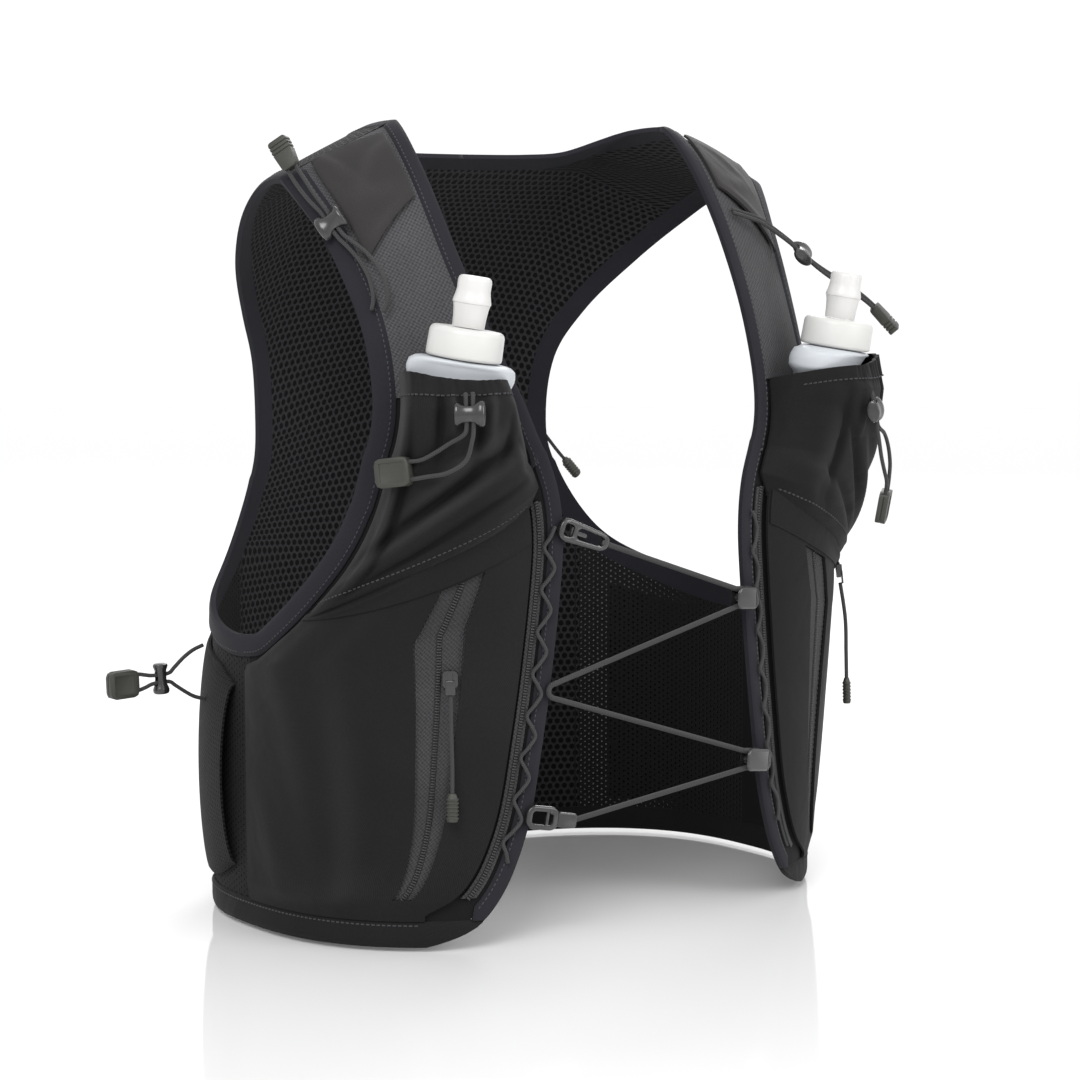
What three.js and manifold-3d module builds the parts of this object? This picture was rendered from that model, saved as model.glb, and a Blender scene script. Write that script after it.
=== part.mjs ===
// Running hydration vest in its worn form: millimetres, +Z up, the chest faces -Y, +X is the wearer's left.
// The origin lies midway between the shoulders, at the neck end of the shoulder line.
import * as THREE from 'three';
import Module from 'manifold-3d';
import { mergeVertices } from 'three/addons/utils/BufferGeometryUtils.js';

const wasm = await Module();
wasm.setup();

// Body form that the vest is cut for
const VEST_HEIGHT = 436;
const HALF_WIDTH = 176;
const FRONT_DEPTH = 130;
const BACK_DEPTH = 122;
const SHOULDER_SETBACK = 19;
const ARCH_DROP = 174;
const SHOULDER_FLAT = 90;
const SHOULDER_SLOPE = 0.43;
const ROUNDNESS = 2.5;
const FRONT_ARCH = 1.6;
const BACK_ARCH = 2.2;
const STRAP_LEAN = 4;

// Cloth and trims
const SEAM_GAP = 0.3;
const BINDING_CLEARANCE = 2.5;
const LAYER_GAP = 0.8;
const LINING_WALL = 1.6;
const STRAP_WALL = 3;
const BACK_WALL = 3.2;
const SIDE_WALL = 1.8;
const POCKET_WALL = 1.4;
const BINDING_WIDTH = 12;
const FRONT_BINDING_WIDTH = 9;
const BINDING_WALL = 3.4;
const BINDING_TUCK = 0.2;
const HEM_HEIGHT = 14;
const COIL_WIDTH = 6.4;
const COIL_WALL = 2.2;
const SIDE_SEAM_LAT = 90;
const BACK_SEAM_LAT = 139.5;

// Pockets
const FLASK_POCKET_DEPTH = 47;
const FLASK_POCKET_FOOT = 14;
const ZIP_POCKET_DEPTH = 13;
const SIDE_POCKET_DEPTH = 9;
const SHOULDER_POCKET_DEPTH = 2;
const ZIP_TAPE_WALL = 1.2;

// Flasks
const FLASK_WIDTH = 39;
const FLASK_THICKNESS = 33;
const FLASK_LENGTH = 74;
const FLASK_YAW = 30;
const FLASK_LEAN = 3.5;
const FLASK_TILT = 9;
const FLASK_SPREAD = 126;
const FLASK_FORWARD = -111;
const FLASK_SHOULDER_DROP = 140;
const FLASK_SHOULDER_RISE = 16;
const NECK_SWAY = 7;
const NECK_TILT = 5.5;
const RIGHT_NECK_ASIDE = 5;
const NECK_RADIUS = 14.5;
const NECK_HEIGHT = 10;
const CAP_RADIUS = 19.75;
const CAP_HEIGHT = 16;
const CAP_CLEARANCE = 0.4;
const VALVE_RADIUS = 8.9;
const VALVE_BULGE_RADIUS = 10;
const VALVE_HEIGHT = 26.5;

// Cords and hardware
const ZIGZAG_DIAMETER = 2;
const LACING_DIAMETER = 2.9;
const CORD_DIAMETER = 2.2;
const PULL_CORD_DIAMETER = 2.2;
const ZIGZAG_PITCH = 22.5;
const ZIGZAG_SWING = 3;
const HELD_CORD_SIDES = 6;
const FREE_CORD_SIDES = 8;

// Seams as places on the body: lat is degrees round it from the middle of the chest, past the side at 90,
// to the middle of the back at 180; level is 0 at the hem, 1 at the foot of the shoulder arch, 2 on top.
const FRONT_EDGE = [
  { lat: 40, level: 0 },
  { lat: 33, level: 0.04 },
  { lat: 28.5, level: 0.09 },
  { lat: 25, level: 0.16 },
  { lat: 22, level: 0.26 },
  { lat: 19.8, level: 0.4 },
  { lat: 18, level: 0.54 },
  { lat: 16.4, level: 0.7 },
  { lat: 15.7, level: 0.82 },
  { lat: 16.6, level: 0.92 },
  { lat: 19.5, level: 1.02 },
  { lat: 22, level: 1.14 },
  { lat: 24.5, level: 1.3 },
  { lat: 26, level: 1.5 },
  { lat: 26.4, level: 1.75 },
  { lat: 26.3, level: 2 },
];
const NECK_EDGE = [
  { lat: 153.7, level: 2 },
  { lat: 154.5, level: 1.88 },
  { lat: 157, level: 1.8 },
  { lat: 162, level: 1.73 },
  { lat: 170, level: 1.712 },
  { lat: 180, level: 1.708 },
];
const FRONT_ARM_EDGE = [
  { lat: 90, level: 0.6 },
  { lat: 84.5, level: 0.646 },
  { lat: 77.5, level: 0.7 },
  { lat: 68, level: 0.79 },
  { lat: 62, level: 0.88 },
  { lat: 58.5, level: 0.98 },
  { lat: 55.2, level: 1.12 },
  { lat: 53, level: 1.24 },
  { lat: 52.6, level: 1.36 },
  { lat: 54.4, level: 1.48 },
  { lat: 58, level: 1.62 },
  { lat: 64.5, level: 1.78 },
  { lat: 68.5, level: 1.9 },
  { lat: 70, level: 2 },
];
const BACK_ARM_EDGE = [
  { lat: 90, level: 0.6 },
  { lat: 105, level: 0.62 },
  { lat: 117, level: 0.655 },
  { lat: 130, level: 0.7 },
  { lat: 138, level: 0.767 },
  { lat: 144, level: 0.85 },
  { lat: 148.3, level: 0.96 },
  { lat: 147, level: 1.12 },
  { lat: 140.5, level: 1.25 },
  { lat: 130, level: 1.42 },
  { lat: 121, level: 1.6 },
  { lat: 116.5, level: 1.74 },
  { lat: 114.5, level: 1.81 },
  { lat: 112.8, level: 1.87 },
  { lat: 111.2, level: 1.94 },
  { lat: 110, level: 2 },
];

const SIDES = [
  { name: 'right', side: -1 },
  { name: 'left', side: 1 },
];
const LEVEL_HEIGHT = VEST_HEIGHT - ARCH_DROP;
const HEM_LEVEL = HEM_HEIGHT / LEVEL_HEIGHT;

const vest = new THREE.Group();

// Materials
function cloth(color, roughness = 0.9) {
  return new THREE.MeshStandardMaterial({ color, roughness, metalness: 0 });
}
const FINISH = {
  shell: cloth(0x262425),
  binding: cloth(0x2c2c33),
  knit: cloth(0x4a4a4c),
  flap: cloth(0x4a4747, 0.7),
  spacer: cloth(0x1c1a1e),
  wing: cloth(0x151515),
  stretch: cloth(0x1d1c1d),
  tape: cloth(0x505050, 0.8),
  elastic: cloth(0x5a5a5a, 0.8),
  plastic: cloth(0x454545, 0.35),
  rubber: cloth(0x4c4c48, 0.6),
  flask: new THREE.MeshStandardMaterial({ color: 0xe4ebf0, roughness: 0.35, metalness: 0 }),
  silicone: new THREE.MeshStandardMaterial({ color: 0xf2f4f4, roughness: 0.3, metalness: 0 }),
};

function add(name, geometry, material) {
  const mesh = new THREE.Mesh(geometry, material);
  mesh.name = name;
  vest.add(mesh);
}

// The body surface
function skinPoint(side, lat, level) {
  if (level > 2) return skinPoint(side, 180 - lat, 4 - level);
  const turn = THREE.MathUtils.degToRad(lat);
  const atFront = lat < 90;
  const x = HALF_WIDTH * Math.abs(Math.sin(turn)) ** (2 / ROUNDNESS);
  const depth = atFront ? -FRONT_DEPTH : BACK_DEPTH;
  const reach = SHOULDER_SETBACK + depth * Math.abs(Math.cos(turn)) ** (2 / ROUNDNESS);
  if (level <= 1) return new THREE.Vector3(side * x, reach, -VEST_HEIGHT + level * LEVEL_HEIGHT);
  const rise = (level - 1) * Math.PI / 2;
  const bend = 2 / (atFront ? FRONT_ARCH : BACK_ARCH);
  const ridge = -Math.max(0, x - SHOULDER_FLAT) * SHOULDER_SLOPE;
  const seam = (atFront ? -1 : 1) * SEAM_GAP / 2;
  const y = seam + (reach - seam) * Math.max(0, Math.cos(rise)) ** bend;
  return new THREE.Vector3(side * x, y, -ARCH_DROP + (ridge + ARCH_DROP) * Math.sin(rise) ** bend);
}

function skinNormal(side, lat, level) {
  const latStep = 0.5;
  const levelStep = 0.02;
  const low = Math.max(level - levelStep, 0);
  const round = skinPoint(side, lat + latStep, level).sub(skinPoint(side, lat - latStep, level));
  const rise = skinPoint(side, lat, level + levelStep).sub(skinPoint(side, lat, low));
  if (lat > 180 - latStep) round.set(-side, 0, 0);
  return round.cross(rise).multiplyScalar(side).normalize();
}

function bodyPoint(side, lat, level, lift = 0) {
  return skinPoint(side, lat, level).addScaledVector(skinNormal(side, lat, level), lift);
}

// Edges and rails
function smoothEdge(table, spans) {
  const curve = new THREE.SplineCurve(table.map(({ lat, level }) => new THREE.Vector2(lat, level)));
  return curve.getPoints(spans).map(({ x, y }) => ({ lat: x, level: y }));
}

function leaned(side, edge) {
  const start = 1.1;
  return edge.map(({ lat, level }) => {
    const along = THREE.MathUtils.clamp((level - start) / (2 - start), 0, 1);
    return { lat: lat - side * STRAP_LEAN * Math.sin(Math.PI * along), level };
  });
}

// Moves each point of an edge along the body, square to the edge; toward is 1 or -1
function inset(side, edge, distance, toward, closed = false) {
  const step = 0.2;
  const count = edge.length;
  return edge.map((place, i) => {
    const { lat, level } = place;
    const before = edge[closed ? (i + count - 1) % count : Math.max(i - 1, 0)];
    const after = edge[closed ? (i + 1) % count : Math.min(i + 1, count - 1)];
    const along = skinPoint(side, after.lat, after.level).sub(skinPoint(side, before.lat, before.level));
    const target = skinNormal(side, lat, level).cross(along.normalize()).multiplyScalar(toward * distance);
    const flat = Math.min(level, 1.97);
    const east = skinPoint(side, lat + step, flat).sub(skinPoint(side, lat - step, flat));
    east.divideScalar(2 * step);
    const north = skinPoint(side, lat, flat + 0.01).sub(skinPoint(side, lat, flat - 0.01));
    north.divideScalar(0.02);
    const a = east.dot(east);
    const b = east.dot(north);
    const d = north.dot(north);
    const determinant = a * d - b * b;
    const dLat = (target.dot(east) * d - target.dot(north) * b) / determinant;
    const dLevel = (target.dot(north) * a - target.dot(east) * b) / determinant;
    return { lat: lat + dLat, level: Math.min(level + dLevel, 2) };
  });
}

// The value of one coordinate of an edge where the other first has a given value, or at the nearer end
function readEdge(edge, known, value, wanted) {
  const i = edge.findIndex((place, k) => k > 0 && (edge[k - 1][known] - value) * (place[known] - value) <= 0);
  if (i < 0) {
    const [first, last] = [edge[0], edge.at(-1)];
    return Math.abs(first[known] - value) < Math.abs(last[known] - value) ? first[wanted] : last[wanted];
  }
  const [low, high] = [edge[i - 1], edge[i]];
  const span = high[known] - low[known] || 1;
  return low[wanted] + (high[wanted] - low[wanted]) * (value - low[known]) / span;
}

function latAt(edge, level) {
  return readEdge(edge, 'level', level, 'lat');
}

function levelAt(edge, lat) {
  return readEdge(edge, 'lat', lat, 'level');
}

// Cloth solids: cells of four corners, each corner an outer and an inner point
function corner(side, lat, level, lift, wall) {
  return { outer: bodyPoint(side, lat, level, lift + wall), inner: bodyPoint(side, lat, level, lift) };
}

function clothSolid(cells) {
  const spots = [];
  const found = new Map();
  const spot = (point) => {
    const key = point.outer.toArray().map((v) => Math.round(v * 500)).join();
    if (!found.has(key)) found.set(key, spots.push(point) - 1);
    return found.get(key);
  };
  const faces = [];
  const edges = new Map();
  for (const cell of cells) {
    const ring = cell.map(spot).filter((v, i, all) => v !== all[(i + 1) % all.length]);
    for (let i = 1; i + 1 < ring.length; i++) {
      faces.push([ring[0], ring[i], ring[i + 1]]);
    }
    ring.forEach((v, i) => {
      const w = ring[(i + 1) % ring.length];
      if (edges.has(`${w},${v}`)) edges.delete(`${w},${v}`);
      else edges.set(`${v},${w}`, [v, w]);
    });
  }
  const under = spots.length;
  const triangles = faces.flatMap(([a, b, c]) => [[a, b, c], [under + a, under + c, under + b]]);
  for (const [v, w] of edges.values()) {
    triangles.push([v, under + v, w], [w, under + v, under + w]);
  }
  return faceted([...spots.map((p) => p.outer), ...spots.map((p) => p.inner)], triangles);
}

function faceted(points, triangles) {
  const volume = triangles.reduce((sum, [a, b, c]) =>
    sum + points[a].dot(new THREE.Vector3().crossVectors(points[b], points[c])), 0);
  const outward = volume > 0 ? triangles : triangles.map(([a, b, c]) => [a, c, b]);
  const geometry = new THREE.BufferGeometry().setFromPoints(points);
  geometry.setIndex(outward.flat());
  geometry.computeVertexNormals();
  return geometry;
}

// Cells between two rails, or along rungs that join them
function ladder(side, rungs, columns, liftAt, wall, isOpen = () => false) {
  const last = rungs.length - 1;
  const grid = rungs.map(({ from, to, sag = 0 }, i) => columns(i / last).map((share) => {
    const lat = THREE.MathUtils.lerp(from.lat, to.lat, share);
    const level = THREE.MathUtils.lerp(from.level, to.level, share) - 4 * sag * share * (1 - share);
    return corner(side, lat, level, liftAt(share, i / last, lat, level), wall);
  }));
  const cells = [];
  for (let i = 0; i < last; i++) {
    for (let j = 0; j + 1 < grid[i].length; j++) {
      if (isOpen(i, j)) continue;
      const ring = [grid[i][j], grid[i][j + 1], grid[i + 1][j + 1], grid[i + 1][j]];
      cells.push(side > 0 ? ring : ring.reverse());
    }
  }
  return cells;
}

function even(count) {
  const shares = Array.from({ length: count + 1 }, (_, i) => i / count);
  return () => shares;
}

function rungsBetween(fromRail, toRail, levels, sag = 0) {
  return levels.map((level) => ({
    from: { lat: latAt(fromRail, level), level },
    to: { lat: latAt(toRail, level), level },
    sag,
  }));
}

// Rails of one side of the vest
function railsOf(side) {
  const front = smoothEdge(leaned(side, FRONT_EDGE), 60);
  const arm = smoothEdge(leaned(side, FRONT_ARM_EDGE), 60);
  return {
    front,
    arm,
    frontPanel: inset(side, front, FRONT_BINDING_WIDTH + BINDING_CLEARANCE, -side),
    pocketInner: inset(side, front, FRONT_BINDING_WIDTH + COIL_WIDTH + 2 * BINDING_CLEARANCE, -side),
    armPanel: inset(side, arm, BINDING_WIDTH + BINDING_CLEARANCE, side),
  };
}

const RAILS = new Map(SIDES.map(({ side }) => [side, railsOf(side)]));
const SEAM_SHARE = 0.12;

function sideSeamRail(side, seamLat) {
  const arm = RAILS.get(side).armPanel;
  const top = levelAt(arm, seamLat);
  const above = arm.filter((place) => place.level > top);
  return [{ lat: seamLat, level: 0 }, { lat: seamLat, level: top }, ...above];
}

// Panels
const PANEL_TOP = 1.1;

function frontPanel(side) {
  const rails = RAILS.get(side);
  const outer = sideSeamRail(side, SIDE_SEAM_LAT - SEAM_SHARE);
  const between = [0.12, 0.2, 0.3, 0.42, 0.54, 0.61, 0.66, 0.74, 0.84, 0.94, 1.02];
  const rungs = rungsBetween(rails.frontPanel, outer, [HEM_LEVEL + 0.001, ...between, PANEL_TOP]);
  return clothSolid(ladder(side, rungs, even(8), () => 0, LINING_WALL));
}

function strap(side) {
  const rails = RAILS.get(side);
  const levels = [PANEL_TOP + 0.002, 1.18, 1.28, 1.38, 1.48, 1.58, 1.68, 1.78, 1.88, 2];
  const rungs = rungsBetween(rails.frontPanel, rails.armPanel, levels);
  return clothSolid(ladder(side, rungs, even(4), () => 0, STRAP_WALL));
}

function backPanel() {
  const cells = SIDES.flatMap(({ side }) => {
    const neck = inset(side, NECK_EDGE, BINDING_WIDTH + 2 * BINDING_CLEARANCE, -side);
    const arm = inset(side, BACK_ARM_EDGE, BINDING_WIDTH + BINDING_CLEARANCE, -side);
    const seamLat = BACK_SEAM_LAT + SEAM_SHARE;
    const lowRungs = [HEM_LEVEL + 0.001, 0.16, 0.28, 0.4, 0.52, 0.62, 0.7].map((level) => (
      { from: { lat: 180, level }, to: { lat: seamLat, level } }));
    const centre = [0.82, 0.92, 1.02, 1.14, 1.26, 1.4];
    const armRungs = centre.map((level, i) => ({ from: { lat: 180, level }, to: arm[i + 4] }));
    const yoke = neck.toReversed().map((from, i) => ({ from: i === 0 ? { lat: 180, level: from.level } : from,
      to: arm[i + 10] }));
    return ladder(side, [...lowRungs, ...armRungs, ...yoke], even(4), () => 0, BACK_WALL);
  });
  return clothSolid(cells);
}

function sidePanel(side) {
  const arm = inset(side, BACK_ARM_EDGE, BINDING_WIDTH + BINDING_CLEARANCE, -side);
  const lats = [SIDE_SEAM_LAT + SEAM_SHARE, 94, 99, 105, 112, 119, 126, 133, BACK_SEAM_LAT - SEAM_SHARE];
  const rungs = lats.map((lat) => (
    { from: { lat, level: HEM_LEVEL + 0.001 }, to: { lat, level: levelAt(arm, lat) } }));
  return clothSolid(ladder(side, rungs, even(5), () => 0, SIDE_WALL));
}

// Bindings
function frontBinding() {
  const cells = SIDES.flatMap(({ side }) => {
    const front = smoothEdge(leaned(side, FRONT_EDGE), 30).filter((place) => place.level > HEM_LEVEL);
    const start = { lat: latAt(RAILS.get(side).front, HEM_LEVEL + 0.001), level: HEM_LEVEL + 0.001 };
    const edge = [start, ...front];
    const far = inset(side, edge, FRONT_BINDING_WIDTH, -side);
    const foot = inset(side, RAILS.get(side).front, FRONT_BINDING_WIDTH, -side);
    far[0] = { lat: latAt(foot, start.level), level: start.level };
    const neck = smoothEdge(NECK_EDGE, 10);
    const neckFar = inset(side, neck, BINDING_WIDTH, -side);
    neckFar[neck.length - 1].lat = 180;
    const rungs = [...edge.map((from, i) => ({ from, to: far[i] })),
      ...neck.map((from, i) => ({ from, to: neckFar[i] }))];
    return ladder(side, rungs, even(1), () => -BINDING_TUCK, BINDING_WALL);
  });
  return clothSolid(cells);
}

function armBinding(side) {
  const front = smoothEdge(leaned(side, FRONT_ARM_EDGE), 22);
  const back = smoothEdge(BACK_ARM_EDGE, 26).toReversed().slice(1, -1);
  const loop = [...front, ...back];
  const far = inset(side, loop, BINDING_WIDTH, side, true);
  const rungs = [...loop, loop[0]].map((from, i) => ({ from, to: far[i % loop.length] }));
  return clothSolid(ladder(side, rungs, even(1), () => -BINDING_TUCK, BINDING_WALL));
}

function hemBand() {
  const lats = [45, 52, 60, 68, 76, 84, 90, 97, 105, 115, 126, 138, 150, 160, 170, 180];
  const cells = SIDES.flatMap(({ side }) => {
    const edge = RAILS.get(side).front;
    const rungs = [
      { from: { lat: edge[0].lat, level: 0 }, to: { lat: latAt(edge, HEM_LEVEL), level: HEM_LEVEL } },
      ...lats.map((lat) => ({ from: { lat, level: 0 }, to: { lat, level: HEM_LEVEL } })),
    ];
    return ladder(side, rungs, even(1), () => -BINDING_TUCK, BINDING_WALL);
  });
  return clothSolid(cells);
}

// Front zips beside the edge bindings
const COIL_LEVELS = [0.1, 0.16, 0.22, 0.3, 0.38, 0.46, 0.54, 0.62, 0.7, 0.78, 0.86, 0.9];

function coilZip(side) {
  const rails = RAILS.get(side);
  const outer = inset(side, rails.front, FRONT_BINDING_WIDTH + BINDING_CLEARANCE + COIL_WIDTH, -side);
  const lift = LINING_WALL + SEAM_GAP;
  const rungs = rungsBetween(rails.frontPanel, outer, COIL_LEVELS);
  return clothSolid(ladder(side, rungs, even(1), () => lift, COIL_WALL));
}

// Zipped pocket on the ribs, with a wedge-shaped opening for its zip
const ZIP_POCKET_LEVELS = [
  { inner: HEM_LEVEL + 0.001, outer: HEM_LEVEL + 0.001, sag: 0 },
  { inner: 0.1, outer: 0.1, sag: 0 },
  { inner: 0.2, outer: 0.18, sag: 0 },
  { inner: 0.32, outer: 0.28, sag: 0 },
  { inner: 0.44, outer: 0.38, sag: 0 },
  { inner: 0.56, outer: 0.46, sag: 0.005 },
  { inner: 0.68, outer: 0.535, sag: 0.015 },
  { inner: 0.817, outer: 0.66, sag: 0.03 },
  { inner: 0.86, outer: 0.665, sag: 0.02 },
  { inner: 0.897, outer: 0.67, sag: 0.012 },
];
const ZIP_ROWS = { first: 1, last: 7 };

function zipPocketRungs(side) {
  const rails = RAILS.get(side);
  const outer = sideSeamRail(side, SIDE_SEAM_LAT - SEAM_SHARE);
  return ZIP_POCKET_LEVELS.map((row) => ({
    from: { lat: latAt(rails.pocketInner, row.inner), level: row.inner },
    to: { lat: latAt(outer, row.outer), level: row.outer },
    sag: row.sag,
  }));
}

function zipColumns(along) {
  const zipInner = THREE.MathUtils.lerp(0.17, 0.2, along);
  const zipOuter = THREE.MathUtils.lerp(0.24, 0.4, along);
  const beyond = [0.12, 0.27, 0.42, 0.57, 0.71, 0.86, 1].map((share) => zipOuter + (1 - zipOuter) * share);
  return [0, zipInner / 2, zipInner, zipOuter, ...beyond];
}

function zipPocketLift(share, along) {
  const round = Math.sin(Math.PI * share) ** 0.6;
  const tapeRoom = (ZIP_TAPE_WALL + LAYER_GAP) * Math.min(1, along * ZIP_POCKET_LEVELS.length);
  return LINING_WALL + LAYER_GAP + tapeRoom + ZIP_POCKET_DEPTH * round * Math.sin(Math.PI / 2 * along) ** 1.4;
}

function zipPocket(side) {
  const inSlot = (i, j) => j === 2 && i >= ZIP_ROWS.first && i < ZIP_ROWS.last;
  return clothSolid(ladder(side, zipPocketRungs(side), zipColumns, zipPocketLift, POCKET_WALL, inSlot));
}

function pocketZip(side) {
  const rungs = zipPocketRungs(side);
  const under = ZIP_TAPE_WALL + LAYER_GAP;
  const margin = 0.03;
  const columns = (along) => {
    const shares = zipColumns(along);
    return [shares[2] - margin, (shares[2] + shares[3]) / 2, shares[3] + margin];
  };
  const outside = (i) => i < ZIP_ROWS.first || i >= ZIP_ROWS.last;
  const lift = (share, along) => zipPocketLift(share, along) - under;
  return clothSolid(ladder(side, rungs, columns, lift, ZIP_TAPE_WALL, outside));
}

// Flask pocket, open at the top
const FLASK_POCKET_LEVELS = [
  { inner: 0.905, outer: 0.678, sag: 0.01 },
  { inner: 0.93, outer: 0.74, sag: 0.01 },
  { inner: 0.96, outer: 0.82, sag: 0 },
  { inner: 1.0, outer: 0.9, sag: 0 },
  { inner: 1.05, outer: 0.99, sag: 0 },
  { inner: 1.1, outer: 1.08, sag: 0 },
  { inner: 1.14, outer: 1.16, sag: 0.02 },
  { inner: 1.17, outer: 1.22, sag: 0.05 },
];

function flaskPocketLift(share, along) {
  const round = 1 - Math.abs(2 * share - 1) ** 3.2;
  const opened = Math.min(1, 1.25 * along) ** 0.75;
  const depth = THREE.MathUtils.lerp(FLASK_POCKET_FOOT, FLASK_POCKET_DEPTH, opened);
  return STRAP_WALL + SEAM_GAP + depth * round;
}

function flaskPocket(side) {
  const rails = RAILS.get(side);
  const rungs = FLASK_POCKET_LEVELS.map((row) => ({
    from: { lat: latAt(rails.pocketInner, row.inner), level: row.inner },
    to: { lat: latAt(rails.armPanel, row.outer), level: row.outer },
    sag: row.sag,
  }));
  const columns = () => [0, 0.06, 0.16, 0.3, 0.5, 0.7, 0.84, 0.94, 1];
  return clothSolid(ladder(side, rungs, columns, flaskPocketLift, POCKET_WALL));
}

// Small flat pocket over each shoulder
const SHOULDER_POCKET_ROWS = [
  { inner: 1.63, outer: 1.5, sag: -0.012 },
  { inner: 1.7, outer: 1.62, sag: 0 },
  { inner: 1.77, outer: 1.74, sag: 0 },
  { inner: 1.84, outer: 1.86, sag: 0 },
  { inner: 1.9, outer: 1.95, sag: 0 },
];

function shoulderPocket(side) {
  const rails = RAILS.get(side);
  const rungs = SHOULDER_POCKET_ROWS.map((row) => ({
    from: { lat: latAt(rails.frontPanel, row.inner), level: row.inner },
    to: { lat: latAt(rails.armPanel, row.outer), level: row.outer },
    sag: row.sag,
  }));
  const lift = (share) => STRAP_WALL + SEAM_GAP + SHOULDER_POCKET_DEPTH * Math.sin(Math.PI * share);
  return clothSolid(ladder(side, rungs, even(4), lift, POCKET_WALL));
}

// Stretch pocket on the side, open towards the front
function sidePocket(side) {
  const rows = [
    { lat: 94, low: 0.12, high: 0.5 },
    { lat: 100, low: 0.09, high: 0.53 },
    { lat: 107, low: 0.075, high: 0.545 },
    { lat: 115, low: 0.07, high: 0.56 },
    { lat: 124, low: 0.07, high: 0.58 },
    { lat: 132, low: 0.07, high: 0.6 },
  ];
  const rungs = rows.map(({ lat, low, high }) => ({ from: { lat, level: low }, to: { lat, level: high } }));
  const lift = (share, along) => {
    const closing = Math.cos(Math.PI / 2 * along) ** 0.7;
    return SIDE_WALL + LAYER_GAP + SIDE_POCKET_DEPTH * closing * Math.sin(Math.PI * share) ** 0.5;
  };
  return clothSolid(ladder(side, rungs, even(6), lift, POCKET_WALL));
}

for (const { name, side } of SIDES) {
  add(`front_panel_${name}`, frontPanel(side), FINISH.shell);
  add(`strap_${name}`, strap(side), FINISH.knit);
  add(`side_panel_${name}`, sidePanel(side), FINISH.wing);
  add(`armhole_binding_${name}`, armBinding(side), FINISH.binding);
  add(`front_zip_${name}`, coilZip(side), FINISH.tape);
  add(`zip_pocket_${name}`, zipPocket(side), FINISH.shell);
  add(`pocket_zip_${name}`, pocketZip(side), FINISH.tape);
  add(`flask_pocket_${name}`, flaskPocket(side), FINISH.shell);
  add(`shoulder_pocket_${name}`, shoulderPocket(side), FINISH.flap);
  add(`side_pocket_${name}`, sidePocket(side), FINISH.stretch);
}
add('back_panel', backPanel(), FINISH.spacer);
add('front_binding', frontBinding(), FINISH.binding);
add('hem_band', hemBand(), FINISH.shell);

// Solids that are joined or cut
function solidOf(geometry) {
  const bare = geometry.clone();
  bare.deleteAttribute('normal');
  bare.deleteAttribute('uv');
  const merged = mergeVertices(bare, 1e-4);
  return new wasm.Manifold(new wasm.Mesh({
    numProp: 3,
    vertProperties: merged.attributes.position.array,
    triVerts: new Uint32Array(merged.index.array),
  }));
}

function geometryOf(solid) {
  const mesh = solid.getMesh();
  const geometry = new THREE.BufferGeometry();
  geometry.setAttribute('position', new THREE.BufferAttribute(new Float32Array(mesh.vertProperties), 3));
  geometry.setIndex(new THREE.BufferAttribute(new Uint32Array(mesh.triVerts), 1));
  geometry.computeVertexNormals();
  return geometry;
}

// A rounded outline in X and Y, and a block that carries it along Z
function rounded(width, height, radius, centreX = 0) {
  const [x, y] = [width / 2 - radius, height / 2 - radius];
  const shape = new THREE.Shape();
  shape.absarc(centreX + x, y, radius, 0, Math.PI / 2);
  shape.absarc(centreX - x, y, radius, Math.PI / 2, Math.PI);
  shape.absarc(centreX - x, -y, radius, Math.PI, 1.5 * Math.PI);
  shape.absarc(centreX + x, -y, radius, 1.5 * Math.PI, 2 * Math.PI);
  return shape;
}

function block(outline, start, end) {
  const options = { depth: end - start, bevelEnabled: false, curveSegments: 1 };
  return new THREE.ExtrudeGeometry(outline, options).translate(0, 0, start);
}

// Sets a piece in place: its Z runs along and its Y points out
function placed(geometry, at, along, out) {
  const z = along.clone().normalize();
  const x = out.clone().cross(z).normalize();
  const y = z.clone().cross(x);
  return geometry.applyMatrix4(new THREE.Matrix4().makeBasis(x, y, z).setPosition(at));
}

// Flasks: a soft body with a neck, a screw cap and a bite valve
const FLASK_SIDES = 16;
const FLASK_SECTIONS = [
  { along: -1, width: 0.5, thickness: 0.14, aside: 13, forward: 1.5 },
  { along: -0.9, width: 0.78, thickness: 0.4, aside: 11, forward: 1.5 },
  { along: -0.65, width: 0.96, thickness: 0.6, aside: 10, forward: 0 },
  { along: -0.32, width: 1, thickness: 0.76, aside: 8, forward: -3.4 },
  { along: 0, width: 1, thickness: 1, aside: 8, forward: -6 },
];

const SHOULDER_SECTIONS = {
  right: [
    { height: 9, width: 56, thickness: 38, inboard: 0, forward: -3 },
    { height: 13.5, width: 55, thickness: 38, inboard: 0, forward: -1.5 },
  ],
  left: [
    { height: 9, width: 49.5, thickness: 38, inboard: 4, forward: -3 },
    { height: 13.5, width: 52, thickness: 38, inboard: 2, forward: -1.5 },
  ],
};

function flaskOut(side) {
  const yaw = THREE.MathUtils.degToRad(FLASK_YAW);
  return new THREE.Vector3(side * Math.sin(yaw), -Math.cos(yaw), 0);
}

function leaning(side, x, y, aside) {
  const axis = new THREE.Vector3(x, y, 1).normalize();
  const across = flaskOut(side).cross(axis).normalize();
  const at = new THREE.Vector3(side * (FLASK_SPREAD + aside), FLASK_FORWARD, -FLASK_SHOULDER_DROP);
  return new THREE.Matrix4().makeBasis(across, axis.clone().cross(across), axis).setPosition(at);
}

function bagPlace(side) {
  const lean = flaskOut(side).multiplyScalar(Math.tan(THREE.MathUtils.degToRad(FLASK_TILT)));
  return leaning(side, lean.x, lean.y, 0);
}

function neckPlace(side) {
  const sway = Math.tan(THREE.MathUtils.degToRad(NECK_SWAY));
  const tilt = Math.tan(THREE.MathUtils.degToRad(NECK_TILT));
  return leaning(side, sway, -tilt, side < 0 ? RIGHT_NECK_ASIDE : 0);
}

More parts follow.
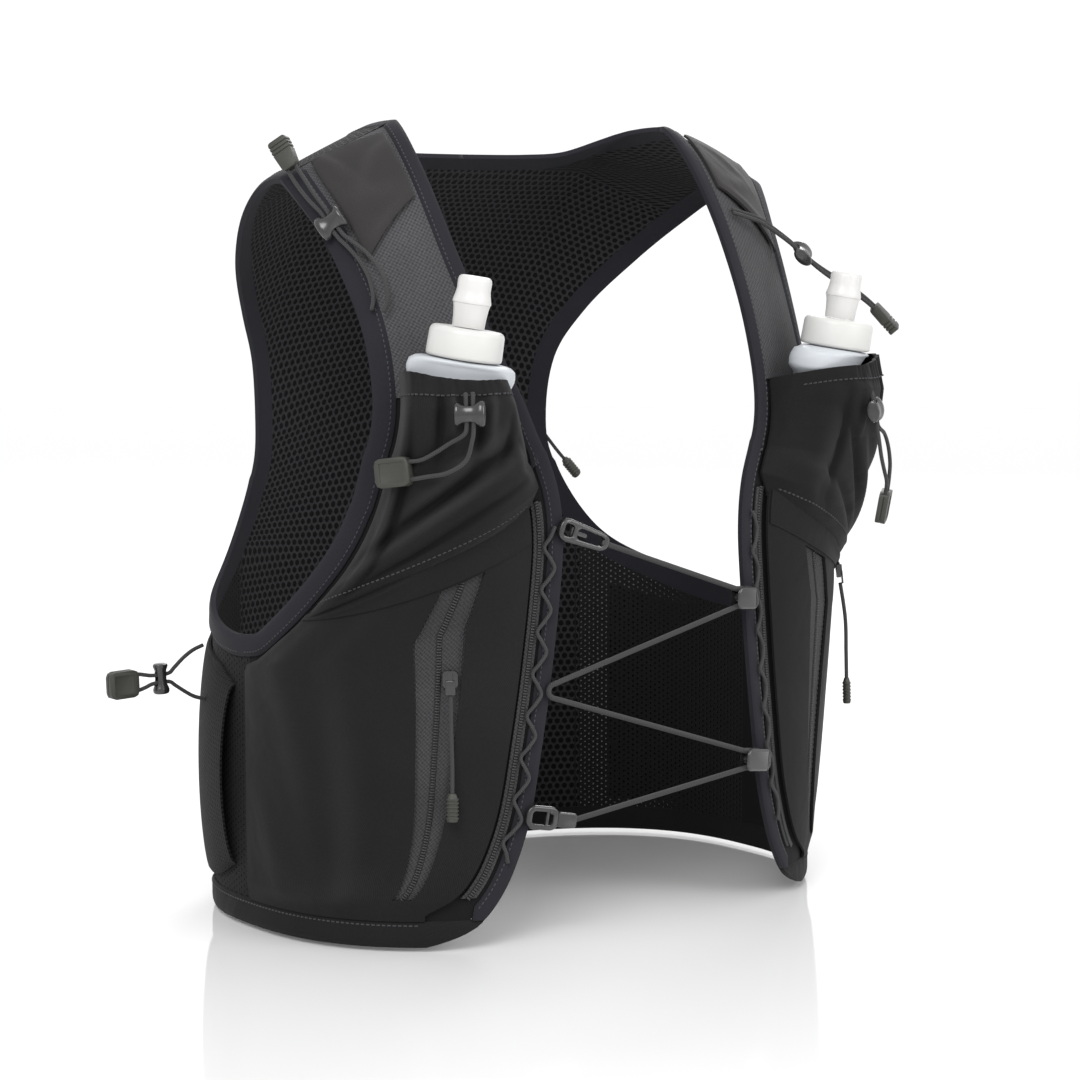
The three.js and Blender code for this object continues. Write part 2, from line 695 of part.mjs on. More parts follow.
function flaskRing(place, height, width, thickness, aside, forward) {
  return Array.from({ length: FLASK_SIDES }, (_, k) => {
    const turn = 2 * Math.PI * (k + 0.5) / FLASK_SIDES;
    const across = width / 2 * Math.cos(turn) + aside;
    return new THREE.Vector3(across, thickness / 2 * Math.sin(turn) + forward, height).applyMatrix4(place);
  });
}

function flaskBody(name, side) {
  const [bag, neck] = [bagPlace(side), neckPlace(side)];
  const rise = FLASK_SHOULDER_RISE;
  const rings = [];
  for (const { along, width, thickness, aside, forward } of FLASK_SECTIONS) {
    const across = FLASK_LEAN - side * aside;
    const size = [width * FLASK_WIDTH, thickness * FLASK_THICKNESS];
    rings.push(flaskRing(bag, along * FLASK_LENGTH, ...size, across, forward));
  }
  for (const { height, width, thickness, inboard, forward } of SHOULDER_SECTIONS[name]) {
    rings.push(flaskRing(neck, height, width, thickness, side * inboard, forward));
  }
  rings.push(
    flaskRing(neck, rise, 50, CAP_RADIUS * 1.9, 0, 0),
    flaskRing(neck, rise + SEAM_GAP / 2, NECK_RADIUS * 2, NECK_RADIUS * 2, 0, 0),
    flaskRing(neck, rise + NECK_HEIGHT, NECK_RADIUS * 2, NECK_RADIUS * 2, 0, 0),
  );
  const triangles = [];
  for (let i = 0; i + 1 < rings.length; i++) {
    for (let k = 0; k < FLASK_SIDES; k++) {
      const [a, b] = [i * FLASK_SIDES + k, i * FLASK_SIDES + (k + 1) % FLASK_SIDES];
      triangles.push([a, b, b + FLASK_SIDES], [a, b + FLASK_SIDES, a + FLASK_SIDES]);
    }
  }
  const top = (rings.length - 1) * FLASK_SIDES;
  for (let k = 1; k + 1 < FLASK_SIDES; k++) {
    triangles.push([0, k + 1, k], [top, top + k, top + k + 1]);
  }
  return faceted(rings.flat(), triangles);
}

function turned(side, profile) {
  const points = profile.map(([radius, height]) => new THREE.Vector2(radius, height));
  const lathe = new THREE.LatheGeometry(points, FLASK_SIDES).rotateX(Math.PI / 2);
  return geometryOf(solidOf(lathe)).applyMatrix4(neckPlace(side));
}

const CAP_BASE = FLASK_SHOULDER_RISE + 2 * SEAM_GAP;
const CAP_TOP = CAP_BASE + CAP_HEIGHT;
const CAP_EDGE = 1.5;

function flaskCap(side) {
  const bore = NECK_RADIUS + CAP_CLEARANCE;
  const roof = FLASK_SHOULDER_RISE + NECK_HEIGHT + CAP_CLEARANCE;
  return turned(side, [
    [0, roof], [bore, roof], [bore, CAP_BASE], [CAP_RADIUS, CAP_BASE], [CAP_RADIUS, CAP_TOP - CAP_EDGE],
    [CAP_RADIUS - CAP_EDGE, CAP_TOP], [0, CAP_TOP],
  ]);
}

function biteValve(side) {
  const foot = CAP_TOP + SEAM_GAP;
  return turned(side, [
    [0, foot], [VALVE_RADIUS, foot], [VALVE_RADIUS, foot + 0.36 * VALVE_HEIGHT],
    [VALVE_BULGE_RADIUS, foot + 0.52 * VALVE_HEIGHT], [VALVE_RADIUS, foot + 0.7 * VALVE_HEIGHT],
    [VALVE_RADIUS, foot + VALVE_HEIGHT], [0, foot + VALVE_HEIGHT],
  ]);
}

for (const { name, side } of SIDES) {
  add(`flask_${name}`, flaskBody(name, side), FINISH.flask);
  add(`flask_cap_${name}`, flaskCap(side), FINISH.flask);
  add(`bite_valve_${name}`, biteValve(side), FINISH.silicone);
}

// Tubes that bend at each point of their route
class Route extends THREE.Curve {
  constructor(points) {
    super();
    this.points = points;
  }

  getPoint(t, target = new THREE.Vector3()) {
    const place = t * (this.points.length - 1);
    const i = Math.min(Math.floor(place), this.points.length - 2);
    return target.lerpVectors(this.points[i], this.points[i + 1], place - i);
  }

  getPointAt(t, target) {
    return this.getPoint(t, target);
  }

  getTangentAt(t, target = new THREE.Vector3()) {
    const i = Math.round(t * (this.points.length - 1));
    const here = this.points[i];
    const before = here.clone().sub(this.points[Math.max(i - 1, 0)]).normalize();
    const after = this.points[Math.min(i + 1, this.points.length - 1)].clone().sub(here).normalize();
    return target.copy(before).add(after).normalize();
  }
}

function tube(points, diameter, sides) {
  const shape = new THREE.Shape(Array.from({ length: sides }, (_, k) => {
    const turn = 2 * Math.PI * k / sides;
    return new THREE.Vector2(Math.cos(turn), Math.sin(turn)).multiplyScalar(diameter / 2);
  }));
  const options = { extrudePath: new Route(points), steps: points.length - 1, curveSegments: 1 };
  return new THREE.ExtrudeGeometry(shape, options);
}

function halfTurn(centre, radius, first, outward, bends) {
  return Array.from({ length: bends + 1 }, (_, k) => {
    const turn = Math.PI * k / bends;
    return centre.clone().addScaledVector(first, radius * Math.cos(turn))
      .addScaledVector(outward, radius * Math.sin(turn));
  });
}

// Free cords, each folded double: the middle line of its two strands, their spread, and the outer side.
// lock and clip say from which point of the line the cord lock and the end clip start.
const CORD_LOOPS = [
  {
    name: 'shoulder_cord', side: 'right', out: [-0.8, -0.5, 0.1], lock: 6, end: 'tip',
    line: [
      { at: [-147.6, -62.2, -100], spread: 7 }, { at: [-146, -62.4, -94], spread: 8 },
      { at: [-145.8, -60.6, -87], spread: 8 }, { at: [-146.8, -56.6, -79], spread: 7 },
      { at: [-149.6, -50.4, -71], spread: 5.4 }, { at: [-154, -44.6, -64.6], spread: 3.6 },
      { at: [-156.8, -40, -60], spread: 3.2 }, { at: [-161.2, -32.4, -48.4], spread: 3.2 },
      { at: [-164.6, -26.2, -41], spread: 4.4 }, { at: [-167, -19.4, -33], spread: 5.2 },
      { at: [-169, -14, -25.6], spread: 5.2 }, { at: [-171, -7.6, -15.4], spread: 5.2 },
    ],
  },
  {
    name: 'shoulder_cord', side: 'left', out: [0.3, -0.6, 0.73], lock: 5, end: 'tip',
    line: [
      { at: [96, -60.6, -47.2], spread: 4 }, { at: [103.6, -64, -49.6], spread: 4.4 },
      { at: [112, -66.6, -52.6], spread: 4.4 }, { at: [120, -68.4, -57.4], spread: 4.2 },
      { at: [128, -70.4, -62.8], spread: 3.4 }, { at: [133, -72, -66.8], spread: 3.2 },
      { at: [143, -76, -76], spread: 3.2 }, { at: [150, -80, -82], spread: 5.4 },
      { at: [158, -84.6, -87.8], spread: 7 }, { at: [167, -89.6, -94.4], spread: 6.4 },
      { at: [175, -94.4, -102], spread: 5.2 }, { at: [183, -98.6, -111.4], spread: 5.2 },
    ],
  },
  {
    name: 'pocket_cord', side: 'right', out: [-0.66, -0.74, 0.1], lock: 1, end: 'clip',
    line: [
      { at: [-141.8, -135.5, -139.6], spread: 3.6 }, { at: [-142.4, -136.7, -143], spread: 3.6 },
      { at: [-142.6, -137.5, -157], spread: 3.6 }, { at: [-143.6, -136.4, -162.4], spread: 5.6 },
      { at: [-145.6, -131, -169.4], spread: 12 }, { at: [-151.6, -125.8, -174.6], spread: 12 },
      { at: [-157.6, -118.6, -177.8], spread: 9 }, { at: [-161.8, -112.4, -179.2], spread: 9 },
      { at: [-167.4, -102, -180.8], spread: 9 },
    ],
  },
  {
    name: 'pocket_cord', side: 'left', out: [0.6, -0.79, 0.05], lock: 1, end: 'clip',
    line: [
      { at: [132.4, -137.6, -147.4], spread: 3.6 }, { at: [133.2, -139, -151], spread: 3.6 },
      { at: [135.2, -140, -165], spread: 3.6 }, { at: [138, -139, -170.4], spread: 6.4 },
      { at: [144.4, -135.4, -178], spread: 18 }, { at: [150, -132.4, -186], spread: 21 },
      { at: [154.6, -129.4, -194], spread: 17 }, { at: [156.6, -127, -200.4], spread: 11 },
      { at: [157.2, -125.4, -205.4], spread: 9 }, { at: [157.4, -122.6, -216], spread: 9 },
    ],
  },
  {
    name: 'side_cord', side: 'right', out: [0, -1, 0], lock: 4, end: 'clip',
    line: [
      { at: [-182.6, 60, -301], spread: 30 }, { at: [-189, 60, -301.2], spread: 26 },
      { at: [-195, 60, -301.4], spread: 19 }, { at: [-201, 60, -301.8], spread: 10 },
      { at: [-205, 60, -302], spread: 4.6 }, { at: [-214.6, 60, -302.4], spread: 4.6 },
      { at: [-219.6, 60, -302.8], spread: 7 }, { at: [-224.6, 60, -303], spread: 9 },
      { at: [-234.6, 60, -303.4], spread: 9 },
    ],
  },
];
const LOCK_THICKNESS = 8;
const LOCK_WALL = 3.6;
const CLIP_THICKNESS = 5.6;
const CLIP_WALL = 1.4;
const CORD_ROOM = 1;

function vector(numbers) {
  return new THREE.Vector3(...numbers);
}

for (const { name, side, out, lock, end, line } of CORD_LOOPS) {
  const outer = vector(out);
  const spots = line.map(({ at }) => vector(at));
  const aside = spots.map((spot, i) => {
    const run = spots[Math.min(i + 1, spots.length - 1)].clone().sub(spots[Math.max(i - 1, 0)]);
    return run.cross(outer).normalize();
  });
  const strand = (hand) => spots.map((spot, i) => (
    spot.clone().addScaledVector(aside[i], hand * line[i].spread / 2)));
  const last = spots.length - 1;
  const run = spots[last].clone().sub(spots[last - 1]).normalize();
  const bend = line[last].spread / 2;
  const turn = halfTurn(spots[last], bend, aside[last], run, 5);
  const points = [...strand(1).slice(0, -1), ...turn, ...strand(-1).slice(0, -1).reverse()];
  add(`${name}_${side}`, tube(points, CORD_DIAMETER, FREE_CORD_SIDES), FINISH.elastic);

  const lockLength = spots[lock].distanceTo(spots[lock + 1]);
  const slotWidth = line[lock].spread + CORD_DIAMETER + CORD_ROOM;
  const slotHeight = CORD_DIAMETER + CORD_ROOM;
  const lockOutline = rounded(slotWidth + 2 * LOCK_WALL, LOCK_THICKNESS, 2.5);
  lockOutline.holes.push(rounded(slotWidth, slotHeight, slotHeight / 2 - 0.1));
  const body = block(lockOutline, 0, lockLength);
  add(`${name}_lock_${side}`, placed(body, spots[lock], spots[lock + 1].clone().sub(spots[lock]), outer),
    FINISH.plastic);

  const clipReach = spots[last].distanceTo(spots[last - 1]) + bend + (CORD_DIAMETER + CORD_ROOM) / 2;
  const cavityWidth = line[last].spread + CORD_DIAMETER + CORD_ROOM;
  const shell = block(rounded(cavityWidth + 2 * CLIP_WALL, CLIP_THICKNESS, 2), 0, clipReach + CLIP_WALL);
  const cavity = block(rounded(cavityWidth, slotHeight, slotHeight / 2 - 0.1), -1, clipReach);
  const clip = geometryOf(solidOf(shell).subtract(solidOf(cavity)));
  add(`${name}_${end}_${side}`, placed(clip, spots[last - 1], run, outer), FINISH.rubber);
}

// Zip sliders with a short cord and a grip moulded on its end
const GRIP = { width: 7, thickness: 5, length: 14 };
const SLIDER = { width: 8, thickness: 3.6, length: 12 };
const PULLS = [
  {
    side: 'right', out: [-0.66, -0.75, 0],
    line: [[-128.3, -99.2, -286.4], [-127.9, -99, -300], [-127.6, -99, -318], [-127.6, -99.8, -337],
      [-127.8, -100, -352]],
  },
  {
    side: 'left', out: [0.78, -0.62, 0],
    line: [[164, -78.5, -250.8], [165.1, -79.3, -264], [167.4, -81.4, -284], [167.6, -82.2, -304],
      [167.8, -82.6, -320]],
  },
];

function pull(points, out) {
  const end = points.at(-1);
  const run = end.clone().sub(points.at(-2));
  const grip = block(rounded(GRIP.width, GRIP.thickness, 1.5), -1, GRIP.length);
  const cord = tube(points, PULL_CORD_DIAMETER, FREE_CORD_SIDES);
  return geometryOf(solidOf(cord).add(solidOf(placed(grip, end, run, out))));
}

for (const { side, out, line } of PULLS) {
  const spots = line.map(vector);
  const run = spots[1].clone().sub(spots[0]).normalize();
  const slider = block(rounded(SLIDER.width, SLIDER.thickness, 1.2), 0, SLIDER.length);
  const start = spots[0].clone().addScaledVector(run, SLIDER.length + SEAM_GAP);
  add(`zip_slider_${side}`, placed(slider, spots[0], run, vector(out)), FINISH.plastic);
  add(`zip_pull_${side}`, pull([start, ...spots.slice(2)], vector(out)), FINISH.rubber);
}
const BACK_PULL_LINE = [[107.4, 130.4, -185.6], [116, 130.4, -195], [123, 130.4, -202]];
add('back_zip_pull', pull(BACK_PULL_LINE.map(vector), vector([0, 1, 0])), FINISH.rubber);

// Zigzag cords along the front edges
const ZIGZAG_START = 0.17;
const ZIGZAG_END = 0.85;
const ZIGZAG_LIFT = LINING_WALL + COIL_WALL + 2 * SEAM_GAP + ZIGZAG_DIAMETER / 2;

for (const { name, side } of SIDES) {
  const { front } = RAILS.get(side);
  const near = inset(side, front, FRONT_BINDING_WIDTH - ZIGZAG_SWING, -side);
  const far = inset(side, front, FRONT_BINDING_WIDTH + ZIGZAG_SWING, -side);
  const reach = (ZIGZAG_END - ZIGZAG_START) * LEVEL_HEIGHT;
  const steps = 4 * Math.round(reach / ZIGZAG_PITCH);
  const points = Array.from({ length: steps + 1 }, (_, k) => {
    const level = THREE.MathUtils.lerp(ZIGZAG_START, ZIGZAG_END, k / steps);
    const share = (1 - Math.cos(Math.PI / 2 * k)) / 2;
    const lat = THREE.MathUtils.lerp(latAt(near, level), latAt(far, level), share);
    return bodyPoint(side, lat, level, ZIGZAG_LIFT);
  });
  add(`zigzag_cord_${name}`, tube(points, ZIGZAG_DIAMETER, HELD_CORD_SIDES), FINISH.elastic);
}

// Hooks on the front edges: outer is how far one reaches back over the binding, nose how far into the gap
const HOOK_SEAT = BINDING_WALL - BINDING_TUCK + 0.6;
const HOOKS = {
  right_top: { side: -1, level: 0.843, outer: 4.4, nose: 27, tilt: -20, thickness: 4 },
  left_top: { side: 1, level: 0.668, outer: 4.4, nose: 14.5, tilt: 5, thickness: 6.6 },
  left_bottom: { side: 1, level: 0.313, outer: 3, nose: 20, tilt: 8, thickness: 6.6 },
  right_bottom: { side: -1, level: 0.261, outer: 4.4, nose: 24.5, tilt: -9, thickness: 4 },
};
const HOOK_WIDTH = 13;
const POST_RADIUS = 2;
const LACING_BEND = POST_RADIUS + LACING_DIAMETER / 2 + 2 * SEAM_GAP;
const NOSE_TO_POST = LACING_BEND + LACING_DIAMETER / 2;

function hookFrame({ side, level, tilt, thickness }) {
  const lat = latAt(RAILS.get(side).front, level);
  const out = skinNormal(side, lat, level);
  const inboard = new THREE.Vector3(-side, 0, 0).addScaledVector(out, side * out.x).normalize();
  const along = inboard.applyAxisAngle(out, THREE.MathUtils.degToRad(-side * tilt));
  return { at: bodyPoint(side, lat, level, HOOK_SEAT + thickness / 2), along, out };
}

function hookSpot(hook, distance) {
  const { at, along } = hookFrame(hook);
  return at.clone().addScaledVector(along, distance);
}

// A flat plate: the outline's X runs along, its Y across
function plate(outline, thickness) {
  const along = new THREE.Vector3(0, 0, 1);
  const across = new THREE.Vector3(1, 0, 0);
  const turn = new THREE.Matrix4().makeBasis(along, across, new THREE.Vector3(0, 1, 0));
  return block(outline, -thickness / 2, thickness / 2).applyMatrix4(turn);
}

function span(from, to, height, radius) {
  return rounded(to - from, height, radius, (from + to) / 2);
}

function openFrame({ outer, nose, thickness }) {
  const outline = span(-outer, nose, HOOK_WIDTH - 2, 4.5);
  outline.holes.push(span(-outer + 2.6, 4, HOOK_WIDTH - 7, 1.5), span(7, nose - 3.4, HOOK_WIDTH - 7, 2));
  return solidOf(plate(outline, thickness));
}

function postHook({ outer, nose, thickness }) {
  const centre = nose - NOSE_TO_POST;
  const slotSpan = span(centre - NOSE_TO_POST - 2 * SEAM_GAP, nose + 5, HOOK_WIDTH + 4, 0.5);
  const postSpan = span(centre - POST_RADIUS, centre + POST_RADIUS, 2 * POST_RADIUS, POST_RADIUS - 0.1);
  const body = solidOf(plate(span(-outer, nose, HOOK_WIDTH, 4.5), thickness));
  const slot = solidOf(plate(slotSpan, LACING_DIAMETER + 2));
  return body.subtract(slot).add(solidOf(plate(postSpan, thickness - 1)));
}

function clampHook({ outer, nose, thickness }) {
  const split = nose - 10;
  const outline = span(-outer, split, HOOK_WIDTH, 4);
  outline.holes.push(span(-outer + 3, split - 4, HOOK_WIDTH - 6, 1.5));
  return solidOf(plate(outline, thickness)).add(solidOf(plate(span(split - 1, nose, 8, 1.5), thickness + 1)));
}

const HOOK_FORMS = {
  right_top: openFrame,
  left_top: postHook,
  left_bottom: postHook,
  right_bottom: clampHook,
};
for (const [name, form] of Object.entries(HOOK_FORMS)) {
  const { at, along, out } = hookFrame(HOOKS[name]);
  add(`lacing_hook_${name}`, placed(geometryOf(form(HOOKS[name])), at, along, out), FINISH.plastic);
}

// Lacing cord: to and fro between the hooks, and once through the zigzag cord
function roundPost(name) {
  const { along, out } = hookFrame(HOOKS[name]);
  const centre = hookSpot(HOOKS[name], HOOKS[name].nose - NOSE_TO_POST);
  const upward = out.clone().cross(along).multiplyScalar(out.clone().cross(along).z > 0 ? 1 : -1);
  return halfTurn(centre, LACING_BEND, upward, along.clone().negate(), 6);
}

const LACE_CATCH = { side: -1, level: 0.515, tilt: 0, thickness: LACING_DIAMETER };
const laceTurn = halfTurn(hookSpot(LACE_CATCH, LACING_BEND - 2), LACING_BEND, new THREE.Vector3(0, 0, 1),
  hookFrame(LACE_CATCH).along.negate(), 6);
const lacing = [
  hookSpot(HOOKS.right_top, HOOKS.right_top.nose + SEAM_GAP),
  ...roundPost('left_top'),
  ...laceTurn,
  ...roundPost('left_bottom'),
  hookSpot(HOOKS.right_bottom, HOOKS.right_bottom.nose + 2 * SEAM_GAP),
];
add('lacing_cord', tube(lacing, LACING_DIAMETER, HELD_CORD_SIDES), FINISH.elastic);

export default vest;
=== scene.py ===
import bpy
import math
import numpy as np
from mathutils import Matrix, Vector


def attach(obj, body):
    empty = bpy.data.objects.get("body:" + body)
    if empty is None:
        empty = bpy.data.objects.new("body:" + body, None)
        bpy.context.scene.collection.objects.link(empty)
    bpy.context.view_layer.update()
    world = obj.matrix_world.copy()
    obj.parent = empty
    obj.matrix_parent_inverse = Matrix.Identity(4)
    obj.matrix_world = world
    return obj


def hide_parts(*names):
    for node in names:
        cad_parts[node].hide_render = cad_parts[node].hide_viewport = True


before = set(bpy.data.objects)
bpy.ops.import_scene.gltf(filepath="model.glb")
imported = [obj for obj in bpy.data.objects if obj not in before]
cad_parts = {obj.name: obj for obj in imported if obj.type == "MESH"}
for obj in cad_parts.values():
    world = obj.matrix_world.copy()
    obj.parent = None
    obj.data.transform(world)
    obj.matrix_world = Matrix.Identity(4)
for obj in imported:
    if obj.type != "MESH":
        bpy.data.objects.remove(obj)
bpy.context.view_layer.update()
MM = 0.001
RIGHT, LEFT = -1, 1
SIDES = {"right": RIGHT, "left": LEFT}

# Camera
CAMERA_PLACE = (-1.0059, -1.3416, -0.058)
CAMERA_LOOK = Vector((0.5985, 0.7943, -0.1045))
CAMERA_LENS = 98.33

camera = bpy.data.objects.new("camera", bpy.data.cameras.new("camera"))
bpy.context.collection.objects.link(camera)
camera.data.lens = CAMERA_LENS
camera.data.sensor_width = 36
camera.data.sensor_fit = "HORIZONTAL"
camera.data.clip_end = 20
camera.location = CAMERA_PLACE
camera.rotation_euler = CAMERA_LOOK.to_track_quat("-Z", "Y").to_euler()
bpy.context.scene.camera = camera

# Body form that the vest is cut for, in millimetres
VEST_HEIGHT, HALF_WIDTH, FRONT_DEPTH, BACK_DEPTH = 436, 176, 130, 122
SHOULDER_SETBACK, ARCH_DROP, SHOULDER_FLAT, SHOULDER_SLOPE = 19, 174, 90, 0.43
ROUNDNESS, FRONT_ARCH, BACK_ARCH, STRAP_LEAN = 2.5, 1.6, 2.2, 4
SEAM_GAP, CLEARANCE, LAYER_GAP = 0.3, 2.5, 0.8
LINING_WALL, STRAP_WALL, BACK_WALL, SIDE_WALL, POCKET_WALL = 1.6, 3, 3.2, 1.8, 1.4
BINDING_WIDTH, FRONT_BINDING_WIDTH, BINDING_WALL, BINDING_TUCK = 12, 9, 3.4, 0.2
HEM_HEIGHT, COIL_WIDTH, COIL_WALL, ZIP_TAPE_WALL = 14, 6.4, 2.2, 1.2
SIDE_SEAM_LAT, BACK_SEAM_LAT, SEAM_SHARE = 90, 139.5, 0.12
FLASK_POCKET_DEPTH, FLASK_POCKET_FOOT = 47, 14
ZIP_POCKET_DEPTH, SIDE_POCKET_DEPTH, SHOULDER_POCKET_DEPTH = 13, 9, 2
LEVEL_HEIGHT = VEST_HEIGHT - ARCH_DROP
HEM_LEVEL = HEM_HEIGHT / LEVEL_HEIGHT
TUCK = 4

# Seams as (lat, level): lat is degrees round the body from the middle of the chest, level 0 at the hem to 2
FRONT_EDGE = [(40, 0), (33, 0.04), (28.5, 0.09), (25, 0.16), (22, 0.26), (19.8, 0.4), (18, 0.54), (16.4, 0.7),
              (15.7, 0.82), (16.6, 0.92), (19.5, 1.02), (22, 1.14), (24.5, 1.3), (26, 1.5), (26.4, 1.75),
              (26.3, 2)]
NECK_EDGE = [(153.7, 2), (154.5, 1.88), (157, 1.8), (162, 1.73), (170, 1.712), (180, 1.708)]
FRONT_ARM_EDGE = [(90, 0.6), (84.5, 0.646), (77.5, 0.7), (68, 0.79), (62, 0.88), (58.5, 0.98), (55.2, 1.12),
                  (53, 1.24), (52.6, 1.36), (54.4, 1.48), (58, 1.62), (64.5, 1.78), (68.5, 1.9), (70, 2)]
BACK_ARM_EDGE = [(90, 0.6), (105, 0.62), (117, 0.655), (130, 0.7), (138, 0.767), (144, 0.85), (148.3, 0.96),
                 (147, 1.12), (140.5, 1.25), (130, 1.42), (121, 1.6), (116.5, 1.74), (114.5, 1.81),
                 (112.8, 1.87), (111.2, 1.94), (110, 2)]


def skin(side, lat, level):
    """Points of the body at a lat and a level; a level past 2 runs down the other face from the ridge."""
    lat, level = np.broadcast_arrays(np.asarray(lat, float), np.asarray(level, float))
    over = level > 2
    lat, level = np.where(over, 180 - lat, lat), np.where(over, 4 - level, level)
    turn = np.radians(lat)
    front = lat < 90
    x = HALF_WIDTH * np.abs(np.sin(turn)) ** (2 / ROUNDNESS)
    depth = np.where(front, -FRONT_DEPTH, BACK_DEPTH)
    reach = SHOULDER_SETBACK + depth * np.abs(np.cos(turn)) ** (2 / ROUNDNESS)
    rise = np.clip(level - 1, 0, None) * math.pi / 2
    bend = 2 / np.where(front, FRONT_ARCH, BACK_ARCH)
    ridge = -np.clip(x - SHOULDER_FLAT, 0, None) * SHOULDER_SLOPE
    seam = np.where(front, -1, 1) * SEAM_GAP / 2
    low = level <= 1
    y = np.where(low, reach, seam + (reach - seam) * np.clip(np.cos(rise), 0, None) ** bend)
    arch = -ARCH_DROP + (ridge + ARCH_DROP) * np.sin(rise) ** bend
    z = np.where(low, -VEST_HEIGHT + level * LEVEL_HEIGHT, arch)
    return np.stack([side * x, y, z], -1)


def skin_normal(side, lat, level):
    lat, level = np.broadcast_arrays(np.asarray(lat, float), np.asarray(level, float))
    around = skin(side, lat + 0.5, level) - skin(side, lat - 0.5, level)
    around = np.where((lat > 179.5)[..., None], np.array([-side, 0.0, 0.0]), around)
    rise = skin(side, lat, level + 0.02) - skin(side, lat, np.maximum(level - 0.02, 0))
    out = np.cross(around, rise) * side
    return out / np.linalg.norm(out, axis=-1, keepdims=True)


def on_body(side, lat, level, lift=0.0):
    return skin(side, lat, level) + skin_normal(side, lat, level) * np.asarray(lift, float)[..., None]


# Edges and rails
def smooth_edge(table, spans):
    """A smooth curve through the rows of a table, cut into equal spans."""
    table = np.asarray(table, float)
    last = len(table) - 1
    places = np.linspace(0, last, spans + 1)
    low = np.minimum(places.astype(int), last - 1)
    t = (places - low)[:, None]
    p0, p1, p2, p3 = (table[np.clip(low + k, 0, last)] for k in (-1, 0, 1, 2))
    v0, v1 = (p2 - p0) / 2, (p3 - p1) / 2
    return (2 * p1 - 2 * p2 + v0 + v1) * t ** 3 + (-3 * p1 + 3 * p2 - 2 * v0 - v1) * t ** 2 + v0 * t + p1


def leaned(side, table):
    """An edge whose strap leans to the wearer's left, as the vest stands."""
    edge = np.array(table, float)
    along = np.clip((edge[:, 1] - 1.1) / 0.9, 0, 1)
    edge[:, 0] -= side * STRAP_LEAN * np.sin(math.pi * along)
    return edge


def inset(side, edge, distance, toward, closed=False):
    """An edge moved over the body by a distance, to the side that toward names."""
    if closed:
        before, after = np.roll(edge, 1, 0), np.roll(edge, -1, 0)
    else:
        before = np.vstack([edge[:1], edge[:-1]])
        after = np.vstack([edge[1:], edge[-1:]])
    along = skin(side, after[:, 0], after[:, 1]) - skin(side, before[:, 0], before[:, 1])
    along /= np.linalg.norm(along, axis=1, keepdims=True)
    target = np.cross(skin_normal(side, edge[:, 0], edge[:, 1]), along) * (toward * distance)
    flat = np.minimum(edge[:, 1], 1.97)
    east = (skin(side, edge[:, 0] + 0.2, flat) - skin(side, edge[:, 0] - 0.2, flat)) / 0.4
    north = (skin(side, edge[:, 0], flat + 0.01) - skin(side, edge[:, 0], flat - 0.01)) / 0.02
    a, b, d = (east * east).sum(1), (east * north).sum(1), (north * north).sum(1)
    te, tn = (target * east).sum(1), (target * north).sum(1)
    det = a * d - b * b
    lat = edge[:, 0] + (te * d - tn * b) / det
    level = np.minimum(edge[:, 1] + (tn * a - te * b) / det, 2)
    return np.stack([lat, level], 1)


def eased(loop, reach=5):
    """A closed edge with its corner at the foot of the armhole rounded."""
    around = np.vstack([loop[-reach:], loop, loop[:reach]])
    mean = np.mean([around[k:k + len(loop)] for k in range(2 * reach + 1)], 0)
    return np.where(loop[:, 1:] < 0.9, mean, loop)


def read_edge(edge, known, value, wanted):
    """The wanted column of an edge where its known column has a value."""
    for k in range(1, len(edge)):
        low, high = edge[k - 1], edge[k]
        if (low[known] - value) * (high[known] - value) <= 0:
            span = (high[known] - low[known]) or 1
            return low[wanted] + (high[wanted] - low[wanted]) * (value - low[known]) / span
    near = edge[0] if abs(edge[0][known] - value) < abs(edge[-1][known] - value) else edge[-1]
    return near[wanted]


def lat_at(edge, level):
    return read_edge(edge, 1, level, 0)


def level_at(edge, lat):
    return read_edge(edge, 0, lat, 1)


RAILS = {}
for side in SIDES.values():
    front = smooth_edge(leaned(side, FRONT_EDGE), 60)
    arm = smooth_edge(leaned(side, FRONT_ARM_EDGE), 60)
    RAILS[side] = {
        "front": front,
        "arm": arm,
        "front_panel": inset(side, front, FRONT_BINDING_WIDTH + CLEARANCE, -side),
        "front_tuck": inset(side, front, FRONT_BINDING_WIDTH - TUCK, -side),
        "arm_tuck": inset(side, arm, BINDING_WIDTH - TUCK, side),
        "back_arm_tuck": inset(side, smooth_edge(BACK_ARM_EDGE, 60), BINDING_WIDTH - TUCK, -side),
        "pocket_inner": inset(side, front, FRONT_BINDING_WIDTH + COIL_WIDTH + 2 * CLEARANCE, -side),
        "arm_panel": inset(side, arm, BINDING_WIDTH + CLEARANCE, side),
    }


def side_seam(side, lat, rail="arm_panel"):
    arm = RAILS[side][rail]
    top = level_at(arm, lat)
    return np.vstack([[(lat, 0), (lat, top)], arm[arm[:, 1] > top]])


def spread_rows(values, count):
    """Rows of a table spread evenly over count + 1 rows, with straight runs between them."""
    values = np.asarray(values, float)
    at = np.linspace(0, len(values) - 1, count + 1)
    return np.stack([np.interp(at, range(len(values)), values[:, k]) for k in range(values.shape[1])], 1)


# Materials
def new_group(name, inputs, outputs):
    group = bpy.data.node_groups.new(name, "ShaderNodeTree")
    for label, kind, value in inputs:
        socket = group.interface.new_socket(name=label, in_out="INPUT", socket_type=kind)
        socket.default_value = value
    for label, kind in outputs:
        group.interface.new_socket(name=label, in_out="OUTPUT", socket_type=kind)
    return group, group.nodes.new("NodeGroupInput"), group.nodes.new("NodeGroupOutput")


